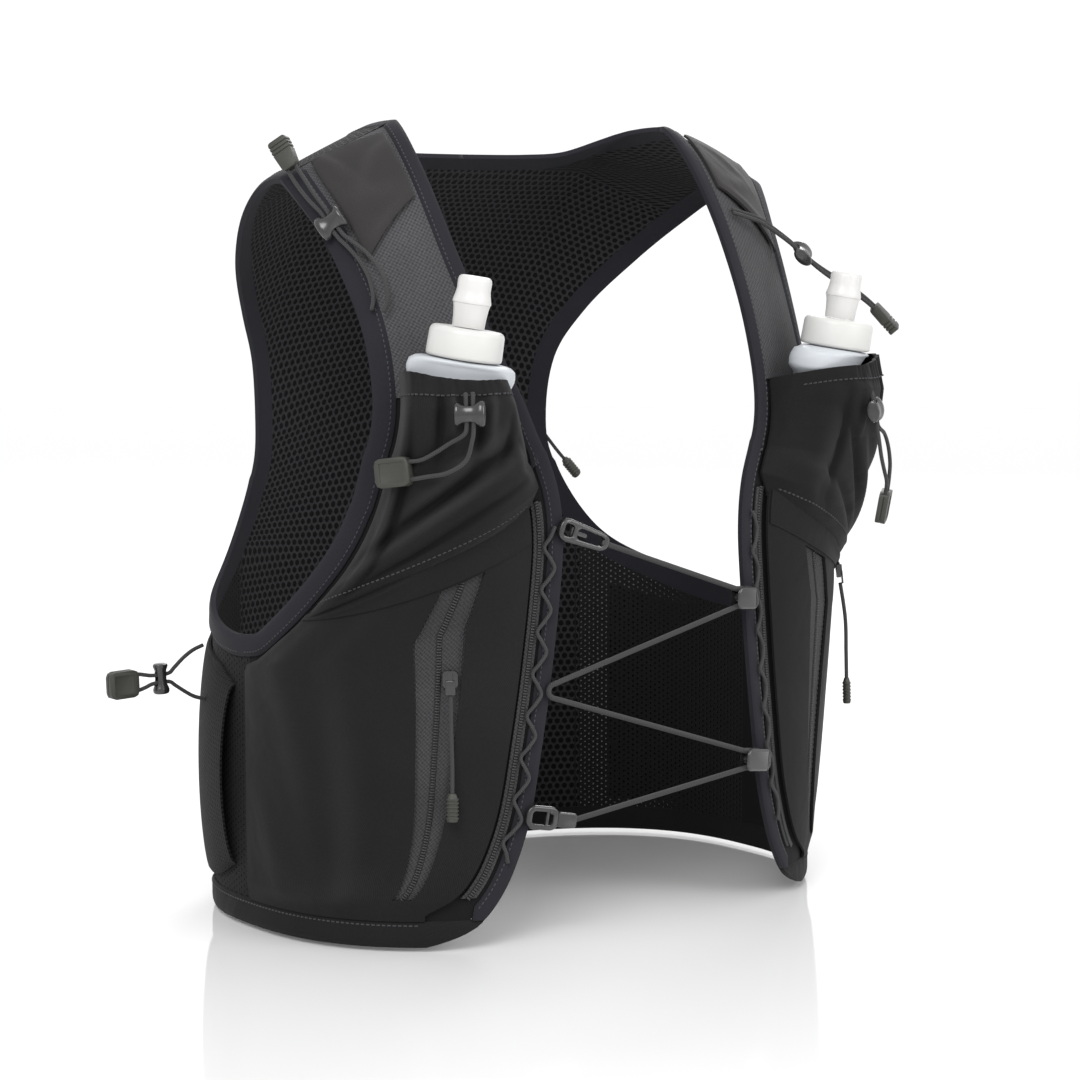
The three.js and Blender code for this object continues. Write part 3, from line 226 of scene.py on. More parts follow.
def math_node(tree, operation, first, second=None, third=None):
    node = tree.nodes.new("ShaderNodeMath")
    node.operation = operation
    for socket, value in zip(node.inputs, (first, second, third)):
        if value is None:
            continue
        if isinstance(value, (int, float)):
            socket.default_value = value
        else:
            tree.links.new(value, socket)
    return node.outputs[0]


def cloth_place(tree):
    """The two distances along a piece's cloth, from its map."""
    uv = tree.nodes.new("ShaderNodeUVMap")
    uv.uv_map = "cloth"
    split = tree.nodes.new("ShaderNodeSeparateXYZ")
    tree.links.new(uv.outputs[0], split.inputs[0])
    return uv, split


def object_noise(tree, detail, scale=None):
    """Noise fixed to the object itself."""
    place = tree.nodes.new("ShaderNodeTexCoord")
    noise = tree.nodes.new("ShaderNodeTexNoise")
    noise.inputs["Detail"].default_value = detail
    if scale:
        noise.inputs["Scale"].default_value = scale
    tree.links.new(place.outputs["Object"], noise.inputs["Vector"])
    return noise


def weave_group():
    """Over-and-under threads that follow the cloth: height, and a tint that is painted shade in the gaps
    between them, with random unevenness of tone on top.
    """
    group, given, result = new_group(
        "thread weave",
        [("Threads", "NodeSocketFloat", 1500), ("Unevenness", "NodeSocketFloat", 0.3)],
        [("Height", "NodeSocketFloat"), ("Tint", "NodeSocketFloat")])
    uv, split = cloth_place(group)
    across = math_node(group, "MULTIPLY", split.outputs[0], given.outputs["Threads"])
    along = math_node(group, "MULTIPLY", split.outputs[1], given.outputs["Threads"])
    crossing = math_node(group, "MULTIPLY", math_node(group, "SINE", across), math_node(group, "SINE", along))
    noise = group.nodes.new("ShaderNodeTexNoise")
    noise.inputs["Scale"].default_value = 700
    noise.inputs["Detail"].default_value = 2
    group.links.new(uv.outputs[0], noise.inputs["Vector"])
    spread = math_node(group, "MULTIPLY", noise.outputs["Fac"], given.outputs["Unevenness"])
    height = math_node(group, "MULTIPLY_ADD", crossing, 0.35, math_node(group, "ADD", spread, 0.5))
    group.links.new(height, result.inputs["Height"])
    # tint: painted shade where the threads dip, plus random unevenness that is the yarn's own tone
    group.links.new(math_node(group, "MULTIPLY_ADD", crossing, 0.25, spread), result.inputs["Tint"])
    return group


def hex_group():
    """Hexagonal openings that follow the cloth: 1 in the middle of an opening, 0 on the yarn."""
    group, given, result = new_group(
        "hexagonal mesh",
        [("Pitch", "NodeSocketFloat", 0.004), ("Opening", "NodeSocketFloat", 0.3)],
        [("Hole", "NodeSocketFloat"), ("Height", "NodeSocketFloat")])
    split = cloth_place(group)[1]
    u = math_node(group, "DIVIDE", split.outputs[0], given.outputs["Pitch"])
    v = math_node(group, "DIVIDE", split.outputs[1], given.outputs["Pitch"])
    rows = math_node(group, "DIVIDE", v, math.sqrt(3))
    distances = []
    for shift in (0.0, 0.5):
        part_u, part_v = (
            math_node(group, "SUBTRACT", math_node(group, "FRACT", math_node(group, "ADD", part, shift)), 0.5)
            for part in (u, rows))
        tall = math_node(group, "MULTIPLY", part_v, math.sqrt(3))
        square = math_node(group, "ADD", math_node(group, "MULTIPLY", part_u, part_u),
                           math_node(group, "MULTIPLY", tall, tall))
        distances.append(math_node(group, "SQRT", square))
    nearest = math_node(group, "MINIMUM", distances[0], distances[1])
    ramp = group.nodes.new("ShaderNodeMapRange")
    ramp.interpolation_type = "SMOOTHSTEP"
    group.links.new(nearest, ramp.inputs["Value"])
    group.links.new(given.outputs["Opening"], ramp.inputs["From Min"])
    group.links.new(math_node(group, "ADD", given.outputs["Opening"], 0.16), ramp.inputs["From Max"])
    ramp.inputs["To Min"].default_value = 1
    ramp.inputs["To Max"].default_value = 0
    group.links.new(ramp.outputs[0], result.inputs["Hole"])
    group.links.new(math_node(group, "SUBTRACT", 1.0, ramp.outputs[0]), result.inputs["Height"])
    return group


def crease_group():
    """Slow changes of height over a whole piece, with a painted shade that follows them: darker where the
    creases sink, lighter on their tops.
    """
    group, given, result = new_group(
        "soft creases",
        [("Size", "NodeSocketFloat", 18), ("Stretch", "NodeSocketFloat", 0.4)],
        [("Height", "NodeSocketFloat"), ("Shade", "NodeSocketFloat")])
    noise = object_noise(group, 3)
    noise.inputs["Distortion"].default_value = 0.6
    group.links.new(given.outputs["Size"], noise.inputs["Scale"])
    group.links.new(noise.outputs["Fac"], result.inputs["Height"])
    # painted shade: the noise that raises the creases also lightens their tops and darkens their hollows
    group.links.new(math_node(group, "MULTIPLY_ADD", noise.outputs["Fac"], given.outputs["Stretch"], 0.5),
                    result.inputs["Shade"])
    return group


WEAVE, HEXAGONS, CREASES = weave_group(), hex_group(), crease_group()


def use_group(tree, group, **values):
    node = tree.nodes.new("ShaderNodeGroup")
    node.node_tree = group
    for label, value in values.items():
        node.inputs[label].default_value = value
    return node


def shader(name, color, roughness, sheen=0.0, coat=0.0, specular=0.12):
    material = bpy.data.materials.new(name)
    material.use_nodes = True
    surface = material.node_tree.nodes["Principled BSDF"]
    surface.inputs["Base Color"].default_value = (*color, 1)
    surface.inputs["Roughness"].default_value = roughness
    surface.inputs["Sheen Weight"].default_value = sheen
    surface.inputs["Sheen Roughness"].default_value = 0.45
    surface.inputs["Coat Weight"].default_value = coat
    surface.inputs["Coat Roughness"].default_value = 0.25
    surface.inputs["Specular IOR Level"].default_value = specular
    return material, material.node_tree, surface


def blend_colors(tree, factor, first, second):
    mix = tree.nodes.new("ShaderNodeMix")
    mix.data_type = "RGBA"
    mix.clamp_factor = True
    tree.links.new(factor, mix.inputs[0])
    mix.inputs[6].default_value = (*first, 1)
    mix.inputs[7].default_value = (*second, 1)
    return mix.outputs[2]


def bump(tree, surface, heights):
    """Stacks bumps: each height with its depth in metres."""
    normal = None
    for height, depth in heights:
        node = tree.nodes.new("ShaderNodeBump")
        node.inputs["Distance"].default_value = depth
        node.inputs["Strength"].default_value = 1
        tree.links.new(height, node.inputs["Height"])
        if normal:
            tree.links.new(normal, node.inputs["Normal"])
        normal = node.outputs[0]
    tree.links.new(normal, surface.inputs["Normal"])


def woven(name, dark, light, threads, depth, roughness=0.85, sheen=0.25, crease=0.0012, unevenness=0.3,
          balance=0.35):
    """Cloth between a dark and a light tone, lighter along the folds that a piece carries as an attribute:
    painted highlight on the fold ridges and painted shade in the fold hollows.
    """
    material, tree, surface = shader(name, light, roughness, sheen)
    weave = use_group(tree, WEAVE, Threads=threads, Unevenness=unevenness)
    creases = use_group(tree, CREASES, Size=16, Stretch=0.9)
    painted_fold_shading = tree.nodes.new("ShaderNodeAttribute")
    painted_fold_shading.attribute_name = "painted_fold_shading"
    # the crease shade multiplies the tone: painted shade in the crease hollows
    tone = math_node(tree, "MULTIPLY", math_node(tree, "ADD", weave.outputs["Tint"], balance),
                     creases.outputs["Shade"])
    # painted highlight on the fold ridges and painted shade in the fold hollows, from the fold heights a
    # piece carries
    tone = math_node(tree, "MULTIPLY_ADD", painted_fold_shading.outputs["Fac"], 0.5, tone)
    tree.links.new(blend_colors(tree, tone, dark, light), surface.inputs["Base Color"])
    bump(tree, surface, [(creases.outputs["Height"], crease), (weave.outputs["Height"], depth)])
    return material


def pierced(name, yarn, hole, pitch, opening, roughness=0.8, see_through=0.0):
    material, tree, surface = shader(name, yarn, roughness, 0.04)
    net = use_group(tree, HEXAGONS, Pitch=pitch, Opening=opening)
    weave = use_group(tree, WEAVE, Threads=9000, Unevenness=0.4)
    creases = use_group(tree, CREASES, Size=9, Stretch=0.5)
    # the openings take the hole colour: painted shade for the shaded depth seen through them
    tree.links.new(blend_colors(tree, net.outputs["Hole"], yarn, hole), surface.inputs["Base Color"])
    bump(tree, surface, [(creases.outputs["Height"], 0.002), (net.outputs["Height"], pitch * 0.16),
                         (weave.outputs["Height"], 0.00008)])
    if see_through:
        clear = math_node(tree, "MULTIPLY", net.outputs["Hole"], see_through)
        tree.links.new(math_node(tree, "SUBTRACT", 1.0, clear), surface.inputs["Alpha"])
    return material


def moulded(name, color, roughness, grain, coat=0.0):
    material, tree, surface = shader(name, color, roughness, 0.0, coat, 0.4)
    noise = object_noise(tree, 3, 900)
    lighter = tuple(min(1, c * 1.35) for c in color)
    tree.links.new(blend_colors(tree, noise.outputs["Fac"], color, lighter), surface.inputs["Base Color"])
    bump(tree, surface, [(noise.outputs["Fac"], grain)])
    return material


def braided(name, dark, light):
    material, tree, surface = shader(name, light, 0.75, 0.06)
    split = cloth_place(tree)[1]
    around = math_node(tree, "MULTIPLY", split.outputs[0], 4200)
    along = math_node(tree, "MULTIPLY", split.outputs[1], 5600)
    first, second = (math_node(tree, "SINE", math_node(tree, way, around, along))
                     for way in ("ADD", "SUBTRACT"))
    yarn = math_node(tree, "MULTIPLY_ADD", math_node(tree, "MAXIMUM", first, second), 0.5, 0.5)
    # painted shade in the grooves between the strands and lighter strand tops, following the same height as
    # the bump
    tree.links.new(blend_colors(tree, yarn, dark, light), surface.inputs["Base Color"])
    bump(tree, surface, [(yarn, 0.00012)])
    return material


def frosted(name, color, roughness, transmission):
    material, tree, surface = shader(name, color, roughness, specular=0.45)
    surface.inputs["Transmission Weight"].default_value = transmission
    surface.inputs["IOR"].default_value = 1.4
    bump(tree, surface, [(object_noise(tree, 2, 55).outputs["Fac"], 0.0004)])
    return material


SHELL = woven("shell cloth", (0.0032, 0.003, 0.0031), (0.0245, 0.0232, 0.0242), 5200, 0.00006, 0.75, 0.04,
              0.003, balance=0.11)
BINDING = woven("binding cloth", (0.008, 0.008, 0.0105), (0.021, 0.021, 0.027), 6200, 0.00007, 0.8, 0.05,
                0.0006)
KNIT = woven("strap knit", (0.004, 0.004, 0.0045), (0.074, 0.074, 0.078), 2500, 0.0004, 0.85, 0.05, 0.0008,
             0.6)
FLAP = woven("shoulder pocket cloth", (0.012, 0.0112, 0.0112), (0.037, 0.0345, 0.0345), 5600, 0.00005, 0.7,
             0.06, 0.002)
TAPE = woven("zip tape", (0.005, 0.005, 0.005), (0.05, 0.05, 0.052), 2800, 0.0004, 0.75, 0.04, 0.0002, 0.7)
LINING = woven("lining", (0.003, 0.003, 0.0032), (0.010, 0.0098, 0.0102), 5200, 0.00006, 0.85, 0.04)
STITCH = woven("stitching thread", (0.02, 0.02, 0.022), (0.07, 0.07, 0.075), 9000, 0.00003, 0.8, 0.1, 0.0001)
SPACER = pierced("spacer mesh", (0.022, 0.0205, 0.0225), (0.001, 0.0009, 0.001), 0.0048, 0.27)
STRETCH = pierced("stretch mesh", (0.013, 0.013, 0.013), (0.0028, 0.0028, 0.0028), 0.0026, 0.14, 0.85)
WING = pierced("wing mesh", (0.0085, 0.0085, 0.0085), (0.002, 0.002, 0.002), 0.0034, 0.1, 0.85, 0.22)
CORD = braided("elastic cord", (0.010, 0.010, 0.010), (0.052, 0.052, 0.053))
PLASTIC = moulded("dark moulded plastic", (0.013, 0.013, 0.0134), 0.24, 0.00004, 0.5)
GRIP = moulded("olive grey rubber", (0.026, 0.026, 0.022), 0.5, 0.00008)
COIL = moulded("zip coil", (0.016, 0.016, 0.017), 0.4, 0.00002)
FLASK = frosted("frosted flask film", (0.53, 0.555, 0.585), 0.36, 0.18)
CAP = frosted("cap plastic", (0.535, 0.535, 0.52), 0.34, 0.06)
VALVE = frosted("silicone", (0.57, 0.565, 0.555), 0.28, 0.08)


# Meshes
# fold height, in millimetres, at which the painted fold highlight and shade are at full strength
FOLD_FULL_SHADE = 3


def make_mesh(name, points, faces, material, uv=None):
    mesh = bpy.data.meshes.new(name)
    mesh.from_pydata([tuple(p) for p in np.asarray(points) * MM], [], faces)
    mesh.materials.append(material)
    if uv is not None:
        layer = mesh.uv_layers.new(name="cloth")
        loops = np.empty(len(mesh.loops), dtype=np.int32)
        mesh.loops.foreach_get("vertex_index", loops)
        layer.data.foreach_set("uv", (np.asarray(uv)[loops] * MM).ravel())
    mesh.validate()
    mesh.polygons.foreach_set("use_smooth", [True] * len(mesh.polygons))
    mesh.update()
    obj = bpy.data.objects.new(name, mesh)
    bpy.context.collection.objects.link(obj)
    return obj


def dress(obj, *nodes, slot=None, body="vest"):
    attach(obj, body)
    if nodes:
        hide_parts(*nodes)
    return obj


def rows_of(from_rail, to_rail, shares, sag=0.0):
    """Lat and level of a grid between two rails, each row of a rail a (lat, level)."""
    shares = np.atleast_2d(shares)
    lat = from_rail[:, :1] + (to_rail[:, :1] - from_rail[:, :1]) * shares
    level = from_rail[:, 1:2] + (to_rail[:, 1:2] - from_rail[:, 1:2]) * shares
    level = level - 4 * np.asarray(sag, float).reshape(-1, 1) * shares * (1 - shares)
    return lat, level


def measured(points):
    """Distances along the rows and columns of a grid of points, for the weave."""
    across = np.zeros(points.shape[:2])
    along = np.zeros(points.shape[:2])
    across[:, 1:] = np.cumsum(np.linalg.norm(np.diff(points, axis=1), axis=2), 1)
    middle = points[:, points.shape[1] // 2]
    along[1:] += np.cumsum(np.linalg.norm(np.diff(middle, axis=0), axis=1))[:, None]
    return np.stack([across, along], -1)


def cloth_grid(name, side, lat, level, lift, wall, material, open_cells=None, pillow=0.0, folds=None):
    """A wall of cloth on the body, with the height of its folds kept for the painted highlight and shade
    along them.
    """
    lift = np.broadcast_to(np.asarray(lift, float), lat.shape)
    swell = -pillow * np.abs(np.linspace(-1, 1, lat.shape[1])) ** 4
    outer = on_body(side, lat, level, lift + wall + swell)
    inner = on_body(side, lat, level, lift)
    return skin_solid(name, outer, inner, material, side < 0, open_cells, folds)


def skin_solid(name, outer, inner, material, flip, open_cells=None, folds=None):
    """Two grids of points joined round every edge, with a sharp rim."""
    rows, columns = outer.shape[:2]
    count = rows * columns
    flat = measured(outer).reshape(-1, 2)
    points = np.vstack([outer.reshape(-1, 3), inner.reshape(-1, 3)])
    uv = np.vstack([flat, flat])
    index = np.arange(count).reshape(rows, columns)
    solid = np.ones((rows - 1, columns - 1), bool) if open_cells is None else ~open_cells
    faces, edges = [], {}
    for i in range(rows - 1):
        for j in range(columns - 1):
            if not solid[i, j]:
                continue
            ring = [index[i, j], index[i, j + 1], index[i + 1, j + 1], index[i + 1, j]]
            if flip:
                ring.reverse()
            ring = [int(v) for v in ring]
            faces.append(ring)
            faces.append([v + count for v in reversed(ring)])
            for k in range(4):
                a, b = ring[k], ring[(k + 1) % 4]
                if (b, a) in edges:
                    del edges[(b, a)]
                else:
                    edges[(a, b)] = True
    faces += [[a, a + count, b + count, b] for a, b in edges]
    used = sorted({v for face in faces for v in face})
    number = {v: k for k, v in enumerate(used)}
    obj = make_mesh(name, points[used], [[number[v] for v in face] for face in faces], material, uv[used])
    # the fold heights go on the points for the painted highlight and shade along the folds
    if folds is not None:
        shade = np.tile(np.clip(folds / FOLD_FULL_SHADE, -1, 1).ravel(), 2)
        obj.data.attributes.new("painted_fold_shading", "FLOAT", "POINT").data.foreach_set("value", shade[used])
    sharp = obj.data.attributes.get("sharp_edge") or obj.data.attributes.new("sharp_edge", "BOOLEAN", "EDGE")
    rim = {(number[a + far], number[b + far]) for a, b in edges for far in (0, count)}
    rim |= {(b, a) for a, b in rim}
    flags = [(e.vertices[0], e.vertices[1]) in rim for e in obj.data.edges]
    sharp.data.foreach_set("value", flags)
    return obj


def ridge_lines(u, v, table):
    """Folds across a piece; a row is its place on u and v, direction in degrees, width, length, height."""
    total = np.zeros(np.broadcast(u, v).shape)
    for at_u, at_v, turn, width, length, height in table:
        c, s = math.cos(math.radians(turn)), math.sin(math.radians(turn))
        along = (u - at_u) * c + (v - at_v) * s
        off = -(u - at_u) * s + (v - at_v) * c
        total += height * np.exp(-(off / width) ** 2 - (along / length) ** 2)
    return total


# Panels and straps
PANEL_TOP = 1.17
RIDGE_LAP, WING_LAP = 0.012, 1.5
for hand, side in SIDES.items():
    rails = RAILS[side]
    outer_rail = side_seam(side, SIDE_SEAM_LAT, "arm_tuck")
    levels = np.linspace(HEM_LEVEL - 0.01, PANEL_TOP + 0.005, 61)
    start = np.array([(lat_at(rails["front_tuck"], v), v) for v in levels])
    end = np.array([(lat_at(outer_rail, v), v) for v in levels])
    lat, level = rows_of(start, end, np.linspace(0, 1, 41))
    dress(cloth_grid(f"front_lining_{hand}", side, lat, level, 0, LINING_WALL, LINING), f"front_panel_{hand}",
          slot="shell")

    levels = np.linspace(PANEL_TOP, 2 + RIDGE_LAP, 81)
    start = np.array([(lat_at(rails["front_tuck"], v), v) for v in levels])
    end = np.array([(lat_at(rails["arm_tuck"], v), v) for v in levels])
    lat, level = rows_of(start, end, np.linspace(0, 1, 33))
    strap = cloth_grid(f"knitted_strap_{hand}", side, lat, level, 0, STRAP_WALL, KNIT, pillow=0.8)
    dress(strap, f"strap_{hand}", slot="knit")

    arm = rails["back_arm_tuck"]
    lats = np.linspace(SIDE_SEAM_LAT, BACK_SEAM_LAT + WING_LAP, 49)
    start = np.array([(v, HEM_LEVEL - 0.01) for v in lats])
    end = np.array([(v, level_at(arm, v)) for v in lats])
    lat, level = rows_of(start, end, np.linspace(0, 1, 41))
    dress(cloth_grid(f"mesh_wing_{hand}", side, lat, level, 0, SIDE_WALL, WING), f"side_panel_{hand}",
          slot="wing_mesh")

# Back panel: two halves, one for each side, in the same cloth
half_grids = {}
for hand, side in SIDES.items():
    neck = inset(side, smooth_edge(NECK_EDGE, 30), BINDING_WIDTH - TUCK, -side)[::-1]
    neck[0, 0] = 180
    arm = inset(side, smooth_edge(BACK_ARM_EDGE, 90), BINDING_WIDTH - TUCK, -side)
    low = np.array([(180, v) for v in np.linspace(HEM_LEVEL - 0.01, 0.7, 26)])
    low_end = np.array([(BACK_SEAM_LAT, v) for v in low[:, 1]])
    arm_low = arm[24:60]
    middle = np.stack([np.full(len(arm_low), 180.0), np.linspace(0.72, 1.6, len(arm_low))], 1)
    high_end = arm[60:]
    high = spread_rows(neck, len(high_end) - 1)
    start = np.vstack([low, middle, high])
    end = np.vstack([low_end, arm_low, high_end])
    half_grids[hand] = rows_of(start, end, np.linspace(0, 1, 31))
for hand, side in SIDES.items():
    lat, level = half_grids[hand]
    half = cloth_grid(f"back_mesh_{hand}", side, lat, level, 0, BACK_WALL, SPACER)
    dress(half, "back_panel", slot="spacer_mesh")


# Rows of stitches and coils
def lengths_along(points):
    return np.concatenate([[0], np.cumsum(np.linalg.norm(np.diff(points, axis=0), axis=1))])


def read_along(points, lengths, places):
    return np.stack([np.interp(places, lengths, points[:, k]) for k in range(3)], 1)


def small_blocks(name, at, along, out, size, material, taper):
    """The same small block at many places, narrower at its top."""
    across = np.cross(out, along)
    across /= np.linalg.norm(across, axis=1, keepdims=True)
    corners = np.array([(a, b, c) for c in (-1, 1) for a, b in ((-1, -1), (1, -1), (1, 1), (-1, 1))], float)
    corners[4:, :2] *= taper
    corners *= size
    quads = [(3, 2, 1, 0), (4, 5, 6, 7), (0, 1, 5, 4), (1, 2, 6, 5), (2, 3, 7, 6), (3, 0, 4, 7)]
    points, faces = [], []
    for k in range(len(at)):
        points += [at[k] + across[k] * a + along[k] * b + out[k] * c for a, b, c in corners]
        faces += [[8 * k + v for v in quad] for quad in quads]
    return make_mesh(name, np.array(points), faces, material, np.zeros((len(points), 2)))


def block_row(name, side, line, start, pitch, size, material, taper=0.6):
    """Small blocks a pitch apart along a line of (lat, level, lift), given as three columns."""
    lat, level, lift = line
    spots = on_body(side, lat, level, lift)
    lengths = lengths_along(spots)
    places = np.arange(start, lengths[-1], pitch)
    at = read_along(spots, lengths, places)
    out = skin_normal(side, np.interp(places, lengths, lat), np.interp(places, lengths, level))
    along = np.gradient(at, axis=0)
    along /= np.linalg.norm(along, axis=1, keepdims=True)
    return small_blocks(name, at, along, out, size, material, taper)


STITCH_PITCH, STITCH_SIZE, STITCH_RISE, COIL_PITCH = 2.9, (0.42, 1.0, 0.32), 0.1, 1.5


def stitch_row(name, side, line, slot):
    return dress(block_row(name, side, line, STITCH_PITCH, STITCH_PITCH, STITCH_SIZE, STITCH), slot=slot)


def coil(name, side, line, size, taper):
    return dress(block_row(name, side, line, 0, COIL_PITCH, size, COIL, taper), slot="zip_tape")


# Bindings and hem
HEM_CORNER = 4


def binding_grid(name, side, edge, far, material, closed=False, front=None):
    """A folded band between an edge and its far side; front is the edge that a hem's first row follows."""
    if closed:
        edge, far = np.vstack([edge, edge[:1]]), np.vstack([far, far[:1]])
    lat, level = rows_of(edge, far, np.linspace(0, 1, 9))
    if front is not None:
        lat[0] = [lat_at(front, v) + HEM_CORNER * (1 - v / HEM_LEVEL) ** 3 for v in level[0]]
    return cloth_grid(name, side, lat, level, -BINDING_TUCK, BINDING_WALL + 0.4, material, pillow=1)


def bound_edges(side):
    """The front edge above the hem, the neck, and the loop round the armhole."""
    front = smooth_edge(leaned(side, FRONT_EDGE), 150)
    back_arm = smooth_edge(BACK_ARM_EDGE, 130)[::-1]
    loop = np.vstack([smooth_edge(leaned(side, FRONT_ARM_EDGE), 110), back_arm[1:-1]])
    return front[front[:, 1] > HEM_LEVEL], smooth_edge(NECK_EDGE, 50), eased(loop)


for hand, side in SIDES.items():
    front, neck, loop = bound_edges(side)
    far = inset(side, front, FRONT_BINDING_WIDTH, -side)
    far[0] = (far[0][0], front[0][1])
    front, far = (np.vstack([rail, rail[-1:] + [(0, RIDGE_LAP)]]) for rail in (front, far))
    neck_far = inset(side, neck, BINDING_WIDTH, -side)
    neck_far[-1, 0] = 180
    for label, edge, other in (("front_edge", front, far), ("neck", neck, neck_far)):
        band = binding_grid(f"{label}_binding_{hand}", side, edge, other, BINDING)
        dress(band, "front_binding", slot="binding")

    far = inset(side, loop, BINDING_WIDTH, side, closed=True)
    dress(binding_grid(f"arm_edge_binding_{hand}", side, loop, far, BINDING, closed=True),
          f"armhole_binding_{hand}", slot="binding")

    edge = RAILS[side]["front"]
    lats = np.linspace(45, 180, 90)
    low = np.vstack([[(edge[0][0], 0)], [(v, 0) for v in lats]])
    high = np.vstack([[(lat_at(edge, HEM_LEVEL), HEM_LEVEL)], [(v, HEM_LEVEL) for v in lats]])
    dress(binding_grid(f"hem_{hand}", side, low, high, SHELL, front=edge), "hem_band", slot="shell")


# Zips
ZIP_POCKET_LEVELS = np.array([
    (HEM_LEVEL + 0.001, HEM_LEVEL + 0.001, 0), (0.1, 0.1, 0), (0.2, 0.18, 0), (0.32, 0.28, 0),
    (0.44, 0.38, 0), (0.56, 0.46, 0.005), (0.68, 0.535, 0.015), (0.817, 0.66, 0.03), (0.86, 0.665, 0.02),
    (0.897, 0.67, 0.012)])
ZIP_ROWS = (1, 7)
FINE = 8
ZIP_SPANS = (len(ZIP_POCKET_LEVELS) - 1) * FINE
OUTER_SPANS, INNER_SPANS, BEYOND_SPANS = 5, 3, 30
OPEN_COLUMNS = slice(OUTER_SPANS, OUTER_SPANS + INNER_SPANS)


def zip_pocket_rows(side):
    rows = spread_rows(ZIP_POCKET_LEVELS, ZIP_SPANS)
    outer = side_seam(side, SIDE_SEAM_LAT - SEAM_SHARE)
    start = np.array([(lat_at(RAILS[side]["pocket_inner"], v), v) for v in rows[:, 0]])
    end = np.array([(lat_at(outer, v), v) for v in rows[:, 1]])
    return start, end, rows[:, 2]


def zip_edges(along):
    return 0.17 + 0.03 * along, 0.24 + 0.16 * along


def pocket_columns(along):
    """Shares across the zip pocket, with columns on both edges of the zip's opening."""
    inner, outer = zip_edges(along)
    before = np.linspace(0, 1, OUTER_SPANS + 1)[:-1]
    within = np.linspace(0, 1, INNER_SPANS + 1)[:-1]
    beyond = np.linspace(0, 1, BEYOND_SPANS + 1)
    return np.concatenate([before * inner, inner + within * (outer - inner), outer + beyond * (1 - outer)])


POCKET_FOLDS = {
    RIGHT: [(0.62, 0.9, -14, 0.03, 0.3, 2.2), (0.8, 0.55, 70, 0.04, 0.3, 1.2),
            (0.55, 0.35, 78, 0.05, 0.35, 1.4), (0.9, 0.25, 62, 0.035, 0.22, 1.1),
            (0.35, 0.12, 8, 0.05, 0.3, 1.0), (0.7, 0.08, -4, 0.04, 0.3, 1.2)],
    LEFT: [(0.62, 0.88, -16, 0.035, 0.3, 2.0), (0.75, 0.5, 74, 0.05, 0.3, 1.6),
           (0.5, 0.3, 84, 0.05, 0.35, 1.4)],
}


def zip_pocket_folds(side, share, along):
    fade = np.clip(np.minimum(share, 1 - share) * 8, 0, 1) * np.clip(along * 8, 0, 1)
    inner, outer = zip_edges(along)
    clear_of_zip = np.clip(np.abs(share - (inner + outer) / 2) / 0.16 - 0.6, 0, 1)
    return ridge_lines(share, along, POCKET_FOLDS[side]) * fade * clear_of_zip


def zip_pocket_lift(side, share, along):
    round_off = np.sin(math.pi * np.clip(share, 0, 1)) ** 0.6
    room = (ZIP_TAPE_WALL + LAYER_GAP) * np.minimum(1, along * len(ZIP_POCKET_LEVELS))
    lift = LINING_WALL + LAYER_GAP + room + ZIP_POCKET_DEPTH * round_off * np.sin(math.pi / 2 * along) ** 1.4
    return lift + zip_pocket_folds(side, share, along)


for hand, side in SIDES.items():
    rails = RAILS[side]
    outer = inset(side, rails["front"], FRONT_BINDING_WIDTH + CLEARANCE + COIL_WIDTH, -side)
    levels = np.linspace(0.1, 0.9, 90)
    start = np.array([(lat_at(rails["front_panel"], v), v) for v in levels])
    end = np.array([(lat_at(outer, v), v) for v in levels])
    lat, level = rows_of(start, end, np.linspace(0, 1, 9))
    lift = LINING_WALL + SEAM_GAP
    dress(cloth_grid(f"front_zip_tape_{hand}", side, lat, level, lift, COIL_WALL - 0.9, TAPE, pillow=0.3),
          f"front_zip_{hand}", slot="zip_tape")
    middle = (start + end) / 2
    line = (middle[:, 0], middle[:, 1], np.full(len(middle), lift + COIL_WALL - 0.6))
    coil(f"front_zip_coil_{hand}", side, line, (1.5, 0.55, 0.55), 0.7)

    start, end, sag = zip_pocket_rows(side)
    along = np.linspace(0, 1, ZIP_SPANS + 1)
    shares = np.array([pocket_columns(v) for v in along])
    lat, level = rows_of(start, end, shares, sag)
    lift = zip_pocket_lift(side, shares, along[:, None])
    first, last = (row * FINE for row in ZIP_ROWS)
    open_cells = np.zeros((ZIP_SPANS, shares.shape[1] - 1), bool)
    open_cells[first:last, OPEN_COLUMNS] = True
    folds = zip_pocket_folds(side, shares, along[:, None])
    pocket = cloth_grid(f"rib_pocket_{hand}", side, lat, level, lift, POCKET_WALL, SHELL, open_cells,
                        folds=folds)
    dress(pocket, f"zip_pocket_{hand}", slot="shell")

    inner_edge, outer_edge = zip_edges(along[:, None])
    tape_shares = inner_edge - 0.03 + np.linspace(0, 1, 13) * (outer_edge - inner_edge + 0.06)
    lat, level = rows_of(start, end, tape_shares, sag)
    lift = zip_pocket_lift(side, tape_shares, along[:, None]) - ZIP_TAPE_WALL - LAYER_GAP
    rows = slice(first, last + 1)
    lat, level, lift = lat[rows], level[rows], lift[rows]
    dress(cloth_grid(f"pocket_zip_tape_{hand}", side, lat, level, lift, ZIP_TAPE_WALL, TAPE),
          f"pocket_zip_{hand}", slot="zip_tape")
    for column, label in ((2, "inner_seam"), (6, "coil"), (10, "outer_seam")):
        RAILS[side][f"zip_{label}"] = (lat[:, column], level[:, column], lift[:, column] + ZIP_TAPE_WALL)

